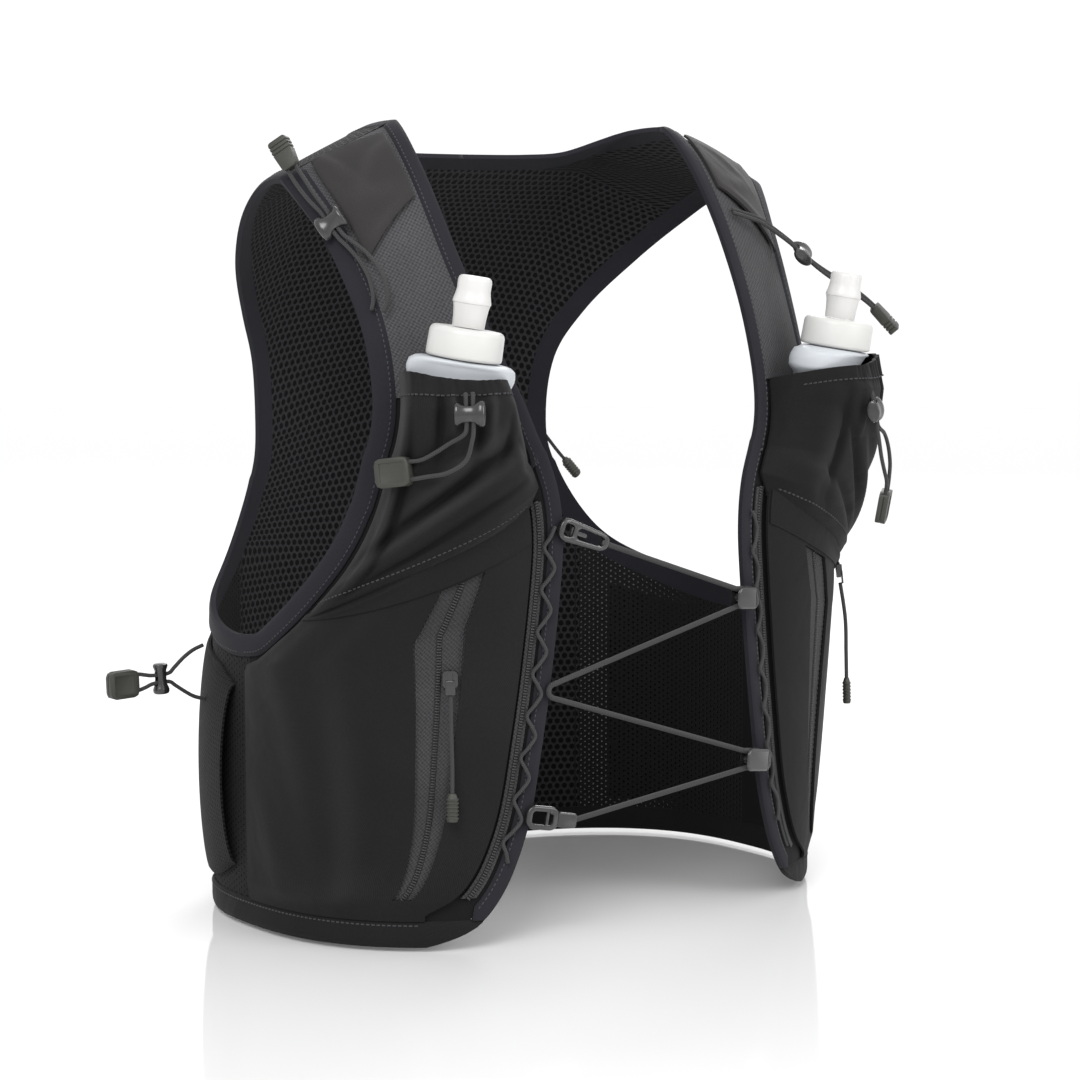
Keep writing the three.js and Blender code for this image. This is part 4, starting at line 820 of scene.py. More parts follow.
# Flask pockets, open at the top
FLASK_POCKET_LEVELS = np.array([
    (0.88, 0.65, 0.01), (0.925, 0.73, 0.01), (0.96, 0.82, 0), (1.0, 0.9, 0), (1.05, 0.99, 0), (1.1, 1.08, 0),
    (1.14, 1.16, 0.01), (1.17, 1.22, 0.02)])
FLASK_POCKET_FOLDS = {
    RIGHT: [(0.55, 0.3, -24, 0.035, 0.4, 3.2), (0.5, 0.41, -26, 0.03, 0.36, -3.4),
            (0.46, 0.52, -28, 0.04, 0.3, 3), (0.5, 0.17, -20, 0.03, 0.42, -3),
            (0.86, 0.4, 82, 0.028, 0.34, 3.2), (0.79, 0.38, 82, 0.025, 0.34, -3.4),
            (0.56, 0.8, 84, 0.03, 0.15, 2.6), (0.65, 0.74, 88, 0.028, 0.15, -3.2),
            (0.3, 0.74, 100, 0.03, 0.16, 2.8), (0.21, 0.6, 112, 0.03, 0.13, -3.4),
            (0.4, 0.67, 96, 0.028, 0.14, -3), (0.12, 0.42, 70, 0.025, 0.18, 2.6)],
    LEFT: [(0.6, 0.6, 145, 0.04, 0.3, 3), (0.45, 0.42, 140, 0.035, 0.35, -3.2),
           (0.7, 0.3, 135, 0.04, 0.3, 2.8), (0.35, 0.75, 100, 0.03, 0.2, 2.4),
           (0.3, 0.2, 150, 0.04, 0.3, 2.4), (0.6, 0.16, 160, 0.03, 0.35, -3),
           (0.15, 0.4, 96, 0.025, 0.3, 2.6), (0.22, 0.45, 98, 0.025, 0.3, -2.8),
           (0.7, 0.8, 84, 0.03, 0.14, -2.6)],
}
POCKET_SPANS, FOOT_STITCH_ROW, MOUTH_STITCH_ROW = 84, 7, 73
MOUTH_ROWS, MOUTH_HEM_WALL, BAND_WALL = slice(-12, None), 0.7, 0.9


def flask_pocket_rows(side):
    rows = smooth_edge(FLASK_POCKET_LEVELS, POCKET_SPANS)
    rails = RAILS[side]
    widening = np.clip((rows[:, 0] - 0.885) / 0.045, 0, 1)
    start = np.array([(lat_at(rails["pocket_inner"], v) * (1 - w) + lat_at(rails["front_panel"], v) * w, v)
                      for v, w in zip(rows[:, 0], widening)])
    end = np.array([(lat_at(rails["arm_panel"], v), v) for v in rows[:, 1]])
    return start, end, rows[:, 2]


def flask_pocket_lift(share, along):
    round_off = 1 - np.abs(2 * share - 1) ** (3.2 + 4.5 * along)
    grow = np.minimum(1, 1.25 * along) ** 0.75
    depth = FLASK_POCKET_FOOT + (FLASK_POCKET_DEPTH - FLASK_POCKET_FOOT) * grow
    return STRAP_WALL + SEAM_GAP + depth * round_off


def flask_pocket_folds(side, share, along):
    fade = np.clip(np.minimum(share, 1 - share) * 7, 0, 1) * np.clip(along * 7, 0, 1)
    gathers = 0.7 * np.sin(share * 80 + 2 * np.sin(share * 23)) * np.clip(along * 5 - 4, 0, 1)
    return (ridge_lines(share, along, FLASK_POCKET_FOLDS[side]) + gathers) * fade


def folded_pocket_lift(side, share, along):
    return flask_pocket_lift(share, along) + flask_pocket_folds(side, share, along)


for hand, side in SIDES.items():
    start, end, sag = flask_pocket_rows(side)
    shares = np.linspace(0, 1, 97)
    shares = 0.5 - 0.5 * np.cos(math.pi * shares) * (0.35 + 0.65 * np.abs(np.cos(math.pi * shares)) ** 0.2)
    lat, level = rows_of(start, end, shares, sag)
    along = np.linspace(0, 1, POCKET_SPANS + 1)[:, None]
    lift = folded_pocket_lift(side, shares[None, :], along)
    folds = flask_pocket_folds(side, shares[None, :], along)
    dress(cloth_grid(f"bottle_pocket_{hand}", side, lat, level, lift, POCKET_WALL, SHELL, folds=folds),
          f"flask_pocket_{hand}", slot="shell")
    lat, level, lift = lat[MOUTH_ROWS], level[MOUTH_ROWS], lift[MOUTH_ROWS] + POCKET_WALL
    dress(cloth_grid(f"pocket_mouth_hem_{hand}", side, lat, level, lift, MOUTH_HEM_WALL, SHELL), slot="shell")

# Small pocket over each shoulder
SHOULDER_POCKET_ROWS = np.array([(1.63, 1.5, -0.012), (1.7, 1.62, 0), (1.77, 1.74, 0), (1.84, 1.86, 0),
                                 (1.9, 1.95, 0)])
SHOULDER_FOLDS = [(0.5, 0.3, 20, 0.08, 0.4, 1.0), (0.3, 0.6, -30, 0.07, 0.4, 1.2),
                  (0.75, 0.7, 60, 0.07, 0.35, 1.0), (0.6, 0.08, 0, 0.05, 0.6, 0.9)]
for hand, side in SIDES.items():
    rows = smooth_edge(SHOULDER_POCKET_ROWS, 48)
    start = np.array([(lat_at(RAILS[side]["front_panel"], v), v) for v in rows[:, 0]])
    end = np.array([(lat_at(RAILS[side]["arm_panel"], v), v) for v in rows[:, 1]])
    shares = np.linspace(0, 1, 49)
    lat, level = rows_of(start, end, shares, rows[:, 2])
    along = np.linspace(0, 1, 49)[:, None]
    fade = np.sin(math.pi * shares)[None, :] ** 0.5
    folds = ridge_lines(shares[None, :], along, SHOULDER_FOLDS) * fade
    lift = STRAP_WALL + SEAM_GAP + SHOULDER_POCKET_DEPTH * fade + folds
    dress(cloth_grid(f"shoulder_flap_{hand}", side, lat, level, lift, POCKET_WALL, FLAP, folds=folds),
          f"shoulder_pocket_{hand}", slot="flap")

# Stretch pockets on the sides
SIDE_POCKET_ROWS = np.array([(94, 0.12, 0.5), (100, 0.09, 0.53), (107, 0.075, 0.545), (115, 0.07, 0.56),
                             (124, 0.07, 0.58), (132, 0.07, 0.6)])
for hand, side in SIDES.items():
    rows = smooth_edge(SIDE_POCKET_ROWS, 50)
    start, end = rows[:, [0, 1]], rows[:, [0, 2]]
    shares = np.linspace(0, 1, 49)
    lat, level = rows_of(start, end, shares)
    along = np.linspace(0, 1, 51)[:, None]
    closing = np.cos(math.pi / 2 * np.clip(along, 0, 1)) ** 0.7
    lift = SIDE_WALL + LAYER_GAP + SIDE_POCKET_DEPTH * closing * np.sin(math.pi * shares)[None, :] ** 0.5
    pocket = cloth_grid(f"side_stretch_pocket_{hand}", side, lat, level, lift, POCKET_WALL, STRETCH)
    dress(pocket, f"side_pocket_{hand}", slot="stretch_mesh")

# Stitched band over the top of each rib pocket
for hand, side in SIDES.items():
    start, end, sag = zip_pocket_rows(side)
    along = np.linspace(0, 1, ZIP_SPANS + 1)
    shares = np.tile(np.linspace(0.004, 0.996, 49), (len(along), 1))
    lat, level = rows_of(start, end, shares, sag)
    lift = zip_pocket_lift(side, shares, along[:, None]) + POCKET_WALL
    rows = slice(ZIP_ROWS[1] * FINE + 1, None)
    band = cloth_grid(f"diagonal_band_{hand}", side, lat[rows], level[rows], lift[rows], BAND_WALL, SHELL,
                      pillow=0.3)
    dress(band, slot="shell")


# Stitching
for hand, side in SIDES.items():
    lat, level, base = RAILS[side]["zip_coil"]
    coil(f"pocket_zip_coil_{hand}", side, (lat, level, base + 0.2), (1.9, 0.5, 0.7), 0.6)
    for label in ("inner", "outer"):
        lat, level, base = RAILS[side][f"zip_{label}_seam"]
        stitch_row(f"zip_seam_stitches_{label}_{hand}", side, (lat, level, base + STITCH_RISE), "zip_tape")

BINDING_TOP = BINDING_WALL + STITCH_RISE
for hand, side in SIDES.items():
    front, neck, loop = bound_edges(side)
    lines = {
        "front_binding_stitches": inset(side, front, FRONT_BINDING_WIDTH - 2, -side),
        "neck_binding_stitches": inset(side, neck, BINDING_WIDTH - 2.4, -side)[1:-1],
        "arm_binding_stitches": inset(side, loop, BINDING_WIDTH - 2.4, side, closed=True),
    }
    for label, line in lines.items():
        stitch_row(f"{label}_{hand}", side, (*line.T, np.full(len(line), BINDING_TOP)), "binding")
    lats = np.linspace(45, 178, 120)
    line = (lats, np.full(len(lats), HEM_LEVEL - 0.008), np.full(len(lats), BINDING_TOP))
    stitch_row(f"hem_stitches_{hand}", side, line, "shell")

    start, end, sag = flask_pocket_rows(side)
    shares = np.linspace(0.03, 0.97, 97)
    lat, level = rows_of(start, end, shares, sag)
    along = np.linspace(0, 1, POCKET_SPANS + 1)[:, None]
    lift = folded_pocket_lift(side, shares[None, :], along) + POCKET_WALL
    for row, label, proud in ((FOOT_STITCH_ROW, "pocket_foot", 0),
                              (MOUTH_STITCH_ROW, "pocket_mouth", MOUTH_HEM_WALL)):
        line = (lat[row], level[row], lift[row] + proud + STITCH_RISE)
        stitch_row(f"{label}_stitches_{hand}", side, line, "shell")


# Moulded pieces
def begin(obj_name):
    obj = bpy.context.object
    obj.name = obj_name
    obj.data.name = obj_name
    return obj


def choose(obj):
    bpy.ops.object.select_all(action="DESELECT")
    obj.select_set(True)
    bpy.context.view_layer.objects.active = obj


def edit(obj):
    choose(obj)
    bpy.ops.object.mode_set(mode="EDIT")
    bpy.ops.mesh.select_mode(type="EDGE")
    bpy.ops.mesh.select_all(action="DESELECT")


def finish_edit(obj):
    bpy.ops.mesh.select_all(action="SELECT")
    bpy.ops.mesh.normals_make_consistent(inside=False)
    bpy.ops.object.mode_set(mode="OBJECT")
    return obj


def pick(obj, wanted):
    """Selects the edges whose two ends, in millimetres, are wanted."""
    bpy.ops.mesh.select_all(action="DESELECT")
    bpy.ops.object.mode_set(mode="OBJECT")
    for edge in obj.data.edges:
        a, b = (obj.data.vertices[v].co / MM for v in edge.vertices)
        edge.select = bool(wanted(a, b))
    bpy.ops.object.mode_set(mode="EDIT")


def slab(name, low, high, corner, rim, steps=6):
    """A plate from one corner to the other, its outline rounded in the XY plane and its rims bevelled."""
    bpy.ops.object.select_all(action="DESELECT")
    middle = [(a + b) / 2 * MM for a, b in zip(low, high)]
    bpy.ops.mesh.primitive_cube_add(size=1, location=middle, scale=[(b - a) * MM for a, b in zip(low, high)])
    obj = begin(name)
    bpy.ops.object.transform_apply(location=True, rotation=True, scale=True)
    edit(obj)
    if corner:
        pick(obj, lambda a, b: abs(a.z - b.z) > 0.01)
        bpy.ops.mesh.bevel(offset=corner * MM, offset_type="OFFSET", segments=steps, affect="EDGES")
    if rim:
        pick(obj, lambda a, b: abs(a.z - b.z) < 0.01)
        bpy.ops.mesh.bevel(offset=rim * MM, offset_type="OFFSET", segments=3, affect="EDGES")
    return finish_edit(obj)


def rod(name, radius, start, end):
    start, end = Vector(start), Vector(end)
    bpy.ops.object.select_all(action="DESELECT")
    bpy.ops.mesh.primitive_cylinder_add(vertices=24, radius=radius * MM, depth=(end - start).length * MM)
    obj = begin(name)
    turn = Vector((0, 0, 1)).rotation_difference(end - start).to_matrix().to_4x4()
    obj.data.transform(Matrix.Translation((start + end) / 2 * MM) @ turn)
    return obj


def turned(name, profile, sides):
    """A profile of (radius, height) spun round Z."""
    mesh = bpy.data.meshes.new(name)
    links = [(k, k + 1) for k in range(len(profile) - 1)]
    mesh.from_pydata([(r * MM, 0, h * MM) for r, h in profile], links, [])
    obj = bpy.data.objects.new(name, mesh)
    bpy.context.collection.objects.link(obj)
    edit(obj)
    bpy.ops.mesh.select_all(action="SELECT")
    bpy.ops.mesh.spin(steps=sides, angle=2 * math.pi, center=(0, 0, 0), axis=(0, 0, 1))
    bpy.ops.mesh.select_all(action="SELECT")
    bpy.ops.mesh.remove_doubles(threshold=0.00001)
    return finish_edit(obj)


def combine(obj, other, operation):
    change = obj.modifiers.new("combine", "BOOLEAN")
    change.operation = operation
    change.object = other
    change.solver = "EXACT"
    choose(obj)
    bpy.ops.object.modifier_apply(modifier=change.name)
    bpy.data.objects.remove(other)
    return obj


def soften(obj, width):
    change = obj.modifiers.new("rounded edges", "BEVEL")
    change.width = width * MM
    change.segments = 2
    change.limit_method = "ANGLE"
    change.angle_limit = math.radians(35)
    choose(obj)
    bpy.ops.object.modifier_apply(modifier=change.name)
    return obj


def settle(obj, place, material, nodes=(), slot="hardware_plastic", body="vest"):
    """Moves a piece made at the origin to its place, with its finish."""
    obj.data.transform(place)
    obj.data.materials.clear()
    obj.data.materials.append(material)
    choose(obj)
    bpy.ops.object.shade_smooth_by_angle(angle=math.radians(40))
    return dress(obj, *nodes, slot=slot, body=body)


def frame_at(at, run, out):
    """Z along the run and Y towards the outer side."""
    z = Vector(run).normalized()
    x = Vector(out).cross(z).normalized()
    place = Matrix((x, z.cross(x), z)).transposed().to_4x4()
    place.translation = Vector(at) * MM
    return place


# Hooks of the lacing
HOOK_SEAT = BINDING_WALL - BINDING_TUCK + 0.6
HOOK_WIDTH, POST_RADIUS, LACING_DIAMETER = 13, 2, 2.9
LACING_BEND = POST_RADIUS + LACING_DIAMETER / 2 + 2 * SEAM_GAP
NOSE_TO_POST = LACING_BEND + LACING_DIAMETER / 2
HOOKS = {
    "right_top": (RIGHT, 0.843, 4.4, 27, -20, 4),
    "left_top": (LEFT, 0.668, 4.4, 14.5, 5, 6.6),
    "left_bottom": (LEFT, 0.313, 3, 20, 8, 6.6),
    "right_bottom": (RIGHT, 0.261, 4.4, 24.5, -9, 4),
}


def hook_place(side, level, tilt, thickness):
    lat = lat_at(RAILS[side]["front"], level)
    out = Vector(skin_normal(side, lat, level))
    inboard = Vector((-side, 0, 0)) + out * side * out.x
    along = Matrix.Rotation(math.radians(-side * tilt), 3, out) @ inboard.normalized()
    return Vector(on_body(side, lat, level, HOOK_SEAT + thickness / 2)), along, out


def open_frame(name, outer, nose, thickness):
    half = thickness / 2
    obj = slab(name, (-outer, -6.5, -half), (nose, 6.5, half), 5.5, 1.2)
    for low, high, reach, corner in ((-outer + 2.8, 4, 3.6, 1.6), (6.6, nose - 3.2, 3.6, 2.6)):
        combine(obj, slab("opening", (low, -reach, -9), (high, reach, 9), corner, 0), "DIFFERENCE")
    combine(obj, slab("prong", (5, -1.3, -1.1), (13, 1.3, 1.1), 0.9, 0.4, 3), "UNION")
    soften(obj, 0.45)
    for vertex in obj.data.vertices:
        share = max(0, vertex.co.x / MM + outer) / (nose + outer)
        vertex.co.y *= 1.02 - 0.3 * share
    return obj


def post_hook(name, outer, nose, thickness):
    half = thickness / 2
    centre = nose - NOSE_TO_POST
    obj = slab(name, (-outer, -HOOK_WIDTH / 2, -half), (nose, HOOK_WIDTH / 2, half), 4.5, 1.6)
    slot = slab("slot", (centre - NOSE_TO_POST - 2 * SEAM_GAP, -9, -LACING_DIAMETER / 2 - 1),
                (nose + 5, 9, LACING_DIAMETER / 2 + 1), 0, 0)
    combine(obj, slot, "DIFFERENCE")
    combine(obj, rod("post", POST_RADIUS, (centre, 0, -half + 0.6), (centre, 0, half - 0.6)), "UNION")
    for k in range(3):
        low = 0.6 + 1.3 * k - outer
        combine(obj, slab("groove", (low, -9, half - 0.5), (low + 0.6, 9, half + 2), 0, 0), "DIFFERENCE")
    return soften(obj, 0.25)


def clamp_hook(name, outer, nose, thickness):
    half = thickness / 2
    split = nose - 10
    obj = slab(name, (-outer, -HOOK_WIDTH / 2, -half), (split, HOOK_WIDTH / 2, half), 5, 1.2)
    combine(obj, slab("opening", (-outer + 3, -3.6, -9), (split - 3.6, 3.6, 9), 2, 0), "DIFFERENCE")
    combine(obj, slab("clamp", (split - 1, -4, -half - 0.5), (nose, 4, half + 0.5), 1.6, 0.7), "UNION")
    combine(obj, slab("bar", (split - 7.4, -4.4, -1.2), (split - 5.6, 4.4, 1.2), 0.5, 0.4, 3), "UNION")
    return soften(obj, 0.3)


HOOK_FORMS = {
    "right_top": open_frame,
    "left_top": post_hook,
    "left_bottom": post_hook,
    "right_bottom": clamp_hook,
}
for label, form in HOOK_FORMS.items():
    side, level, outer, nose, tilt, thickness = HOOKS[label]
    at, along, out = hook_place(side, level, tilt, thickness)
    place = Matrix((along, out.cross(along), out)).transposed().to_4x4()
    place.translation = at * MM
    settle(form(f"hook_{label}", outer, nose, thickness), place, PLASTIC, [f"lacing_hook_{label}"])


# Held cords
def half_turn(centre, radius, first, outward, steps):
    turns = np.linspace(0, math.pi, steps + 1)
    return [Vector(centre) + Vector(first) * radius * math.cos(t) + Vector(outward) * radius * math.sin(t)
            for t in turns]


def evenly_spaced(points, step=1.2):
    lengths = lengths_along(points)
    return read_along(points, lengths, np.linspace(0, lengths[-1], max(8, int(lengths[-1] / step))))


def rounded_route(points, step=1.2):
    """A smooth route through the points, evenly spaced, in millimetres."""
    points = np.array([tuple(p) for p in points], float)
    return evenly_spaced(smooth_edge(points, (len(points) - 1) * 12), step)


def cord_mesh(name, route, diameter, sides=10):
    """A round cord along a route, closed at both ends."""
    runs = np.gradient(route, axis=0)
    runs /= np.linalg.norm(runs, axis=1, keepdims=True)
    normal = np.cross(runs[0], [0.3, 0.2, 0.9])
    rings, uv, travelled = [], [], 0.0
    for k in range(len(route)):
        normal = normal - runs[k] * normal.dot(runs[k])
        normal /= np.linalg.norm(normal)
        other = np.cross(runs[k], normal)
        travelled += np.linalg.norm(route[k] - route[k - 1]) if k else 0
        for s in range(sides):
            turn = 2 * math.pi * s / sides
            rings.append(route[k] + (normal * math.cos(turn) + other * math.sin(turn)) * diameter / 2)
            uv.append((abs(2 * s / sides - 1) * math.pi * diameter / 2, travelled))
    faces = []
    for k in range(len(route) - 1):
        for s in range(sides):
            a, b = k * sides + s, k * sides + (s + 1) % sides
            faces.append([a, b, b + sides, a + sides])
    faces.append(list(range(sides))[::-1])
    faces.append([(len(route) - 1) * sides + s for s in range(sides)])
    return make_mesh(name, np.array(rings), faces, CORD, np.array(uv))


def round_post(label):
    side, level, _, nose, tilt, thickness = HOOKS[label]
    at, along, out = hook_place(side, level, tilt, thickness)
    upward = out.cross(along)
    upward = upward if upward.z > 0 else -upward
    return half_turn(at + along * (nose - NOSE_TO_POST), LACING_BEND, upward, -along, 6)


def hook_tip(label, beyond):
    side, level, _, nose, tilt, thickness = HOOKS[label]
    at, along, _ = hook_place(side, level, tilt, thickness)
    return at + along * (nose + beyond)


catch_at, catch_along, _ = hook_place(RIGHT, 0.515, 0, LACING_DIAMETER)
lacing = [
    hook_tip("right_top", -1.5),
    *round_post("left_top"),
    *half_turn(catch_at + catch_along * (LACING_BEND - 2), LACING_BEND, (0, 0, 1), -catch_along, 6),
    *round_post("left_bottom"),
    hook_tip("right_bottom", -1.5),
]
laced = evenly_spaced(np.array([tuple(p) for p in lacing], float))
dress(cord_mesh("front_lacing", laced, LACING_DIAMETER), "lacing_cord", slot="elastic_cord")

ZIGZAG_DIAMETER, ZIGZAG_PITCH, ZIGZAG_SWING = 2, 22.5, 3
ZIGZAG_START, ZIGZAG_END = 0.17, 0.85
ZIGZAG_LIFT = LINING_WALL + COIL_WALL + 2 * SEAM_GAP + ZIGZAG_DIAMETER / 2
for hand, side in SIDES.items():
    front = RAILS[side]["front"]
    near = inset(side, front, FRONT_BINDING_WIDTH - ZIGZAG_SWING, -side)
    far = inset(side, front, FRONT_BINDING_WIDTH + ZIGZAG_SWING, -side)
    steps = 4 * round((ZIGZAG_END - ZIGZAG_START) * LEVEL_HEIGHT / ZIGZAG_PITCH)
    route = []
    for k in range(steps + 1):
        level = ZIGZAG_START + (ZIGZAG_END - ZIGZAG_START) * k / steps
        share = (1 - math.cos(math.pi / 2 * k)) / 2
        lat = lat_at(near, level) * (1 - share) + lat_at(far, level) * share
        route.append(on_body(side, lat, level, ZIGZAG_LIFT - (1.4 if share > 0.9 else 0)))
    cord = cord_mesh(f"edge_zigzag_{hand}", rounded_route(route), ZIGZAG_DIAMETER)
    dress(cord, f"zigzag_cord_{hand}", slot="elastic_cord")

# Soft flasks
FLASK_WIDTH, FLASK_THICKNESS, FLASK_LENGTH, FLASK_LEAN = 39, 33, 74, 3.5
FLASK_YAW, FLASK_TILT, NECK_SWAY, NECK_TILT = 30, 9, 7, 5.5
FLASK_SPREAD, FLASK_FORWARD, RIGHT_NECK_ASIDE = 126, -111, 5
FLASK_SHOULDER_DROP, FLASK_SHOULDER_RISE = 140, 16
NECK_RADIUS, NECK_HEIGHT, CAP_RADIUS, CAP_HEIGHT, CAP_CLEARANCE = 14.5, 10, 19.75, 16, 0.4
VALVE_RADIUS, VALVE_BULGE_RADIUS, VALVE_HEIGHT = 8.9, 10, 26.5
FLASK_SECTIONS = [(-1, 0.5, 0.14, 13, 1.5), (-0.9, 0.78, 0.4, 11, 1.5), (-0.65, 0.96, 0.6, 10, 0),
                  (-0.32, 1, 0.76, 8, -3.4), (0, 1, 1, 8, -6)]
SHOULDER_SECTIONS = {
    "right": [(3.5, 53, 37, 0, -3.5), (9, 56.5, 38, 0, -3), (13.5, 55, 38, 0, -1.5)],
    "left": [(3.5, 46, 37, 4, -3.5), (9, 49.5, 38, 4, -3), (13.5, 52, 38, 2, -1.5)],
}


def flask_out(side):
    yaw = math.radians(FLASK_YAW)
    return Vector((side * math.sin(yaw), -math.cos(yaw), 0))


def leaning(side, x, y, aside):
    axis = Vector((x, y, 1)).normalized()
    across = flask_out(side).cross(axis).normalized()
    place = Matrix((across, axis.cross(across), axis)).transposed().to_4x4()
    place.translation = Vector((side * (FLASK_SPREAD + aside), FLASK_FORWARD, -FLASK_SHOULDER_DROP)) * MM
    return place


def neck_place(side):
    sway, tilt = math.tan(math.radians(NECK_SWAY)), math.tan(math.radians(NECK_TILT))
    return leaning(side, sway, -tilt, RIGHT_NECK_ASIDE if side < 0 else 0)


def flask_ring(place, height, width, thickness, aside, forward, sides=64, square=2.3):
    ring = []
    for k in range(sides):
        turn = 2 * math.pi * (k + 0.5) / sides
        c, s = math.cos(turn), math.sin(turn)
        x = width / 2 * math.copysign(abs(c) ** (2 / square), c) + aside
        y = thickness / 2 * math.copysign(abs(s) ** (2 / square), s) + forward
        ring.append(tuple(place @ (Vector((x, y, height)) * MM) / MM))
    return ring


CAP_BASE = FLASK_SHOULDER_RISE + 2 * SEAM_GAP
CAP_TOP = CAP_BASE + CAP_HEIGHT
for hand, side in SIDES.items():
    lean = flask_out(side) * math.tan(math.radians(FLASK_TILT))
    bag, neck = leaning(side, lean.x, lean.y, 0), neck_place(side)
    rings = []
    for along, width, thickness, aside, forward in smooth_edge(FLASK_SECTIONS, 28):
        rings.append(flask_ring(bag, along * FLASK_LENGTH, width * FLASK_WIDTH, thickness * FLASK_THICKNESS,
                                FLASK_LEAN - side * aside, forward, square=2))
    for height, width, thickness, inboard, forward in smooth_edge(SHOULDER_SECTIONS[hand], 5):
        rings.append(flask_ring(neck, height, width, thickness, side * inboard, forward))
    top = 50 if side < 0 else 48
    for height, width, thickness in ((14.6, top + 2.4, 37.6), (15.4, top, 36), (15.9, top - 4, 34),
                                     (16, 40, 32), (16.1, 29.6, 29.6), (16.4, 29, 29), (26, 29, 29)):
        rings.append(flask_ring(neck, height, width, thickness, 0, 0, square=2.2 if width > 30 else 2))
    sides = len(rings[0])
    points = np.array(rings)
    faces = [[base + k, base + (k + 1) % sides, base + sides + (k + 1) % sides, base + sides + k]
             for base in range(0, (len(rings) - 1) * sides, sides) for k in range(sides)]
    faces.append(list(range(sides))[::-1])
    faces.append([(len(rings) - 1) * sides + k for k in range(sides)])
    flask = make_mesh(f"soft_flask_{hand}", points.reshape(-1, 3), faces, FLASK,
                      np.zeros((points.shape[0] * sides, 2)))
    dress(flask, f"flask_{hand}", slot="flask_film")

    bore, roof = NECK_RADIUS + CAP_CLEARANCE, FLASK_SHOULDER_RISE + NECK_HEIGHT + CAP_CLEARANCE
    r = CAP_RADIUS
    cap = turned(f"screw_cap_{hand}", [
        (0, roof), (bore, roof), (bore, CAP_BASE), (r - 2, CAP_BASE), (r - 0.8, CAP_BASE + 0.3),
        (r - 0.2, CAP_BASE + 1), (r, CAP_BASE + 2), (r - 0.3, CAP_TOP - 3), (r - 0.7, CAP_TOP - 1.6),
        (r - 1.5, CAP_TOP - 0.6), (r - 2.6, CAP_TOP - 0.1), (r - 4, CAP_TOP), (VALVE_RADIUS + 1.2, CAP_TOP),
        (VALVE_RADIUS + 0.6, CAP_TOP - 0.3), (0, CAP_TOP - 0.3)], 72)
    settle(cap, neck, CAP, [f"flask_cap_{hand}"], "flask_film", f"cap_{hand}")
    foot, v, b, h = CAP_TOP + SEAM_GAP, VALVE_RADIUS, VALVE_BULGE_RADIUS, VALVE_HEIGHT
    valve = turned(f"valve_{hand}", [
        (0, foot), (v - 0.6, foot), (v - 0.5, foot + 1), (v - 0.3, foot + 0.2 * h),
        (v + 0.2, foot + 0.38 * h), (b - 0.4, foot + 0.455 * h), (b - 0.5, foot + 0.462 * h),
        (b - 0.1, foot + 0.47 * h), (b, foot + 0.5 * h), (b - 0.4, foot + 0.56 * h),
        (v + 0.1, foot + 0.66 * h), (v - 0.2, foot + 0.74 * h), (v - 0.1, foot + 0.9 * h),
        (v - 0.5, foot + 0.96 * h), (v - 1.4, foot + 0.99 * h), (v - 2.6, foot + h),
        (1.2, foot + 0.98 * h), (0, foot + 0.978 * h)], 56)
    settle(valve, neck, VALVE, [f"bite_valve_{hand}"], "silicone", f"cap_{hand}")

# Zip sliders, pulls and grips
PULLS = {
    "right": ((-0.66, -0.75, 0), [(-128.3, -99.2, -286.4), (-127.9, -99, -300), (-127.6, -99, -318),
                                  (-127.6, -99.8, -337), (-127.8, -100, -352)]),
    "left": ((0.78, -0.62, 0), [(164, -78.5, -250.8), (165.1, -79.3, -264), (167.4, -81.4, -284),
                                (167.6, -82.2, -304), (167.8, -82.6, -320)]),
}
BACK_PULL = [(107.4, 130.4, -185.6), (116, 130.4, -195), (123, 130.4, -202)]
PULL_CORD_DIAMETER, GRIP_LENGTH, SLIDER_LENGTH = 2.2, 14, 12


def grip_piece(name):
    """A ribbed grip from the cord's end outwards."""
    profile = [(0, -1), (1.5, -1), (2.0, -0.6), (2.3, 0.6)]
    for k in range(6):
        base = 1.4 + 2 * k
        profile += [(2.6, base), (3.1, base + 0.4), (3.15, base + 1), (2.65, base + 1.4)]
    profile += [(2.9, 13.2), (2.5, GRIP_LENGTH), (0, GRIP_LENGTH)]
    obj = turned(name, profile, 28)
    for vertex in obj.data.vertices:
        vertex.co.x *= 1.1
        vertex.co.y *= 0.8
    return obj


def slider_piece(name):
    obj = slab(name, (-4, -1.8, 0), (4, 0.6, 9), 0, 0)
    edit(obj)
    pick(obj, lambda a, b: abs(a.y - b.y) > 0.01)
    bpy.ops.mesh.bevel(offset=2.2 * MM, offset_type="OFFSET", segments=5, affect="EDGES")
    finish_edit(obj)
    combine(obj, slab("bridge", (-1.2, 0, 1.4), (1.2, 1.8, 8), 0, 0), "UNION")
    combine(obj, slab("tab", (-2.6, 0.9, 5), (2.6, 1.9, SLIDER_LENGTH + 0.6), 0.4, 0.3, 3), "UNION")
    return soften(obj, 0.35)


for hand, (out, line) in PULLS.items():
    spots = [Vector(p) for p in line]
    run = (spots[1] - spots[0]).normalized()
    settle(slider_piece(f"zip_runner_{hand}"), frame_at(spots[0], run, out), PLASTIC, [f"zip_slider_{hand}"])
    place = frame_at(spots[-1], spots[-1] - spots[-2], out)
    grip = settle(grip_piece(f"zip_grip_{hand}"), place, GRIP, (), "grip_rubber")
    route = rounded_route([spots[0] + run * (SLIDER_LENGTH + SEAM_GAP), *spots[2:]])
    cord = cord_mesh(f"zip_cord_{hand}", route, PULL_CORD_DIAMETER)
    dress(cord, f"zip_pull_{hand}", slot="elastic_cord")
back = [Vector(p) for p in BACK_PULL]
place = frame_at(back[-1], back[-1] - back[-2], (0, 1, 0))
settle(grip_piece("back_grip"), place, GRIP, (), "grip_rubber")
cord = cord_mesh("back_zip_cord", rounded_route(back), PULL_CORD_DIAMETER)
dress(cord, "back_zip_pull", slot="elastic_cord")

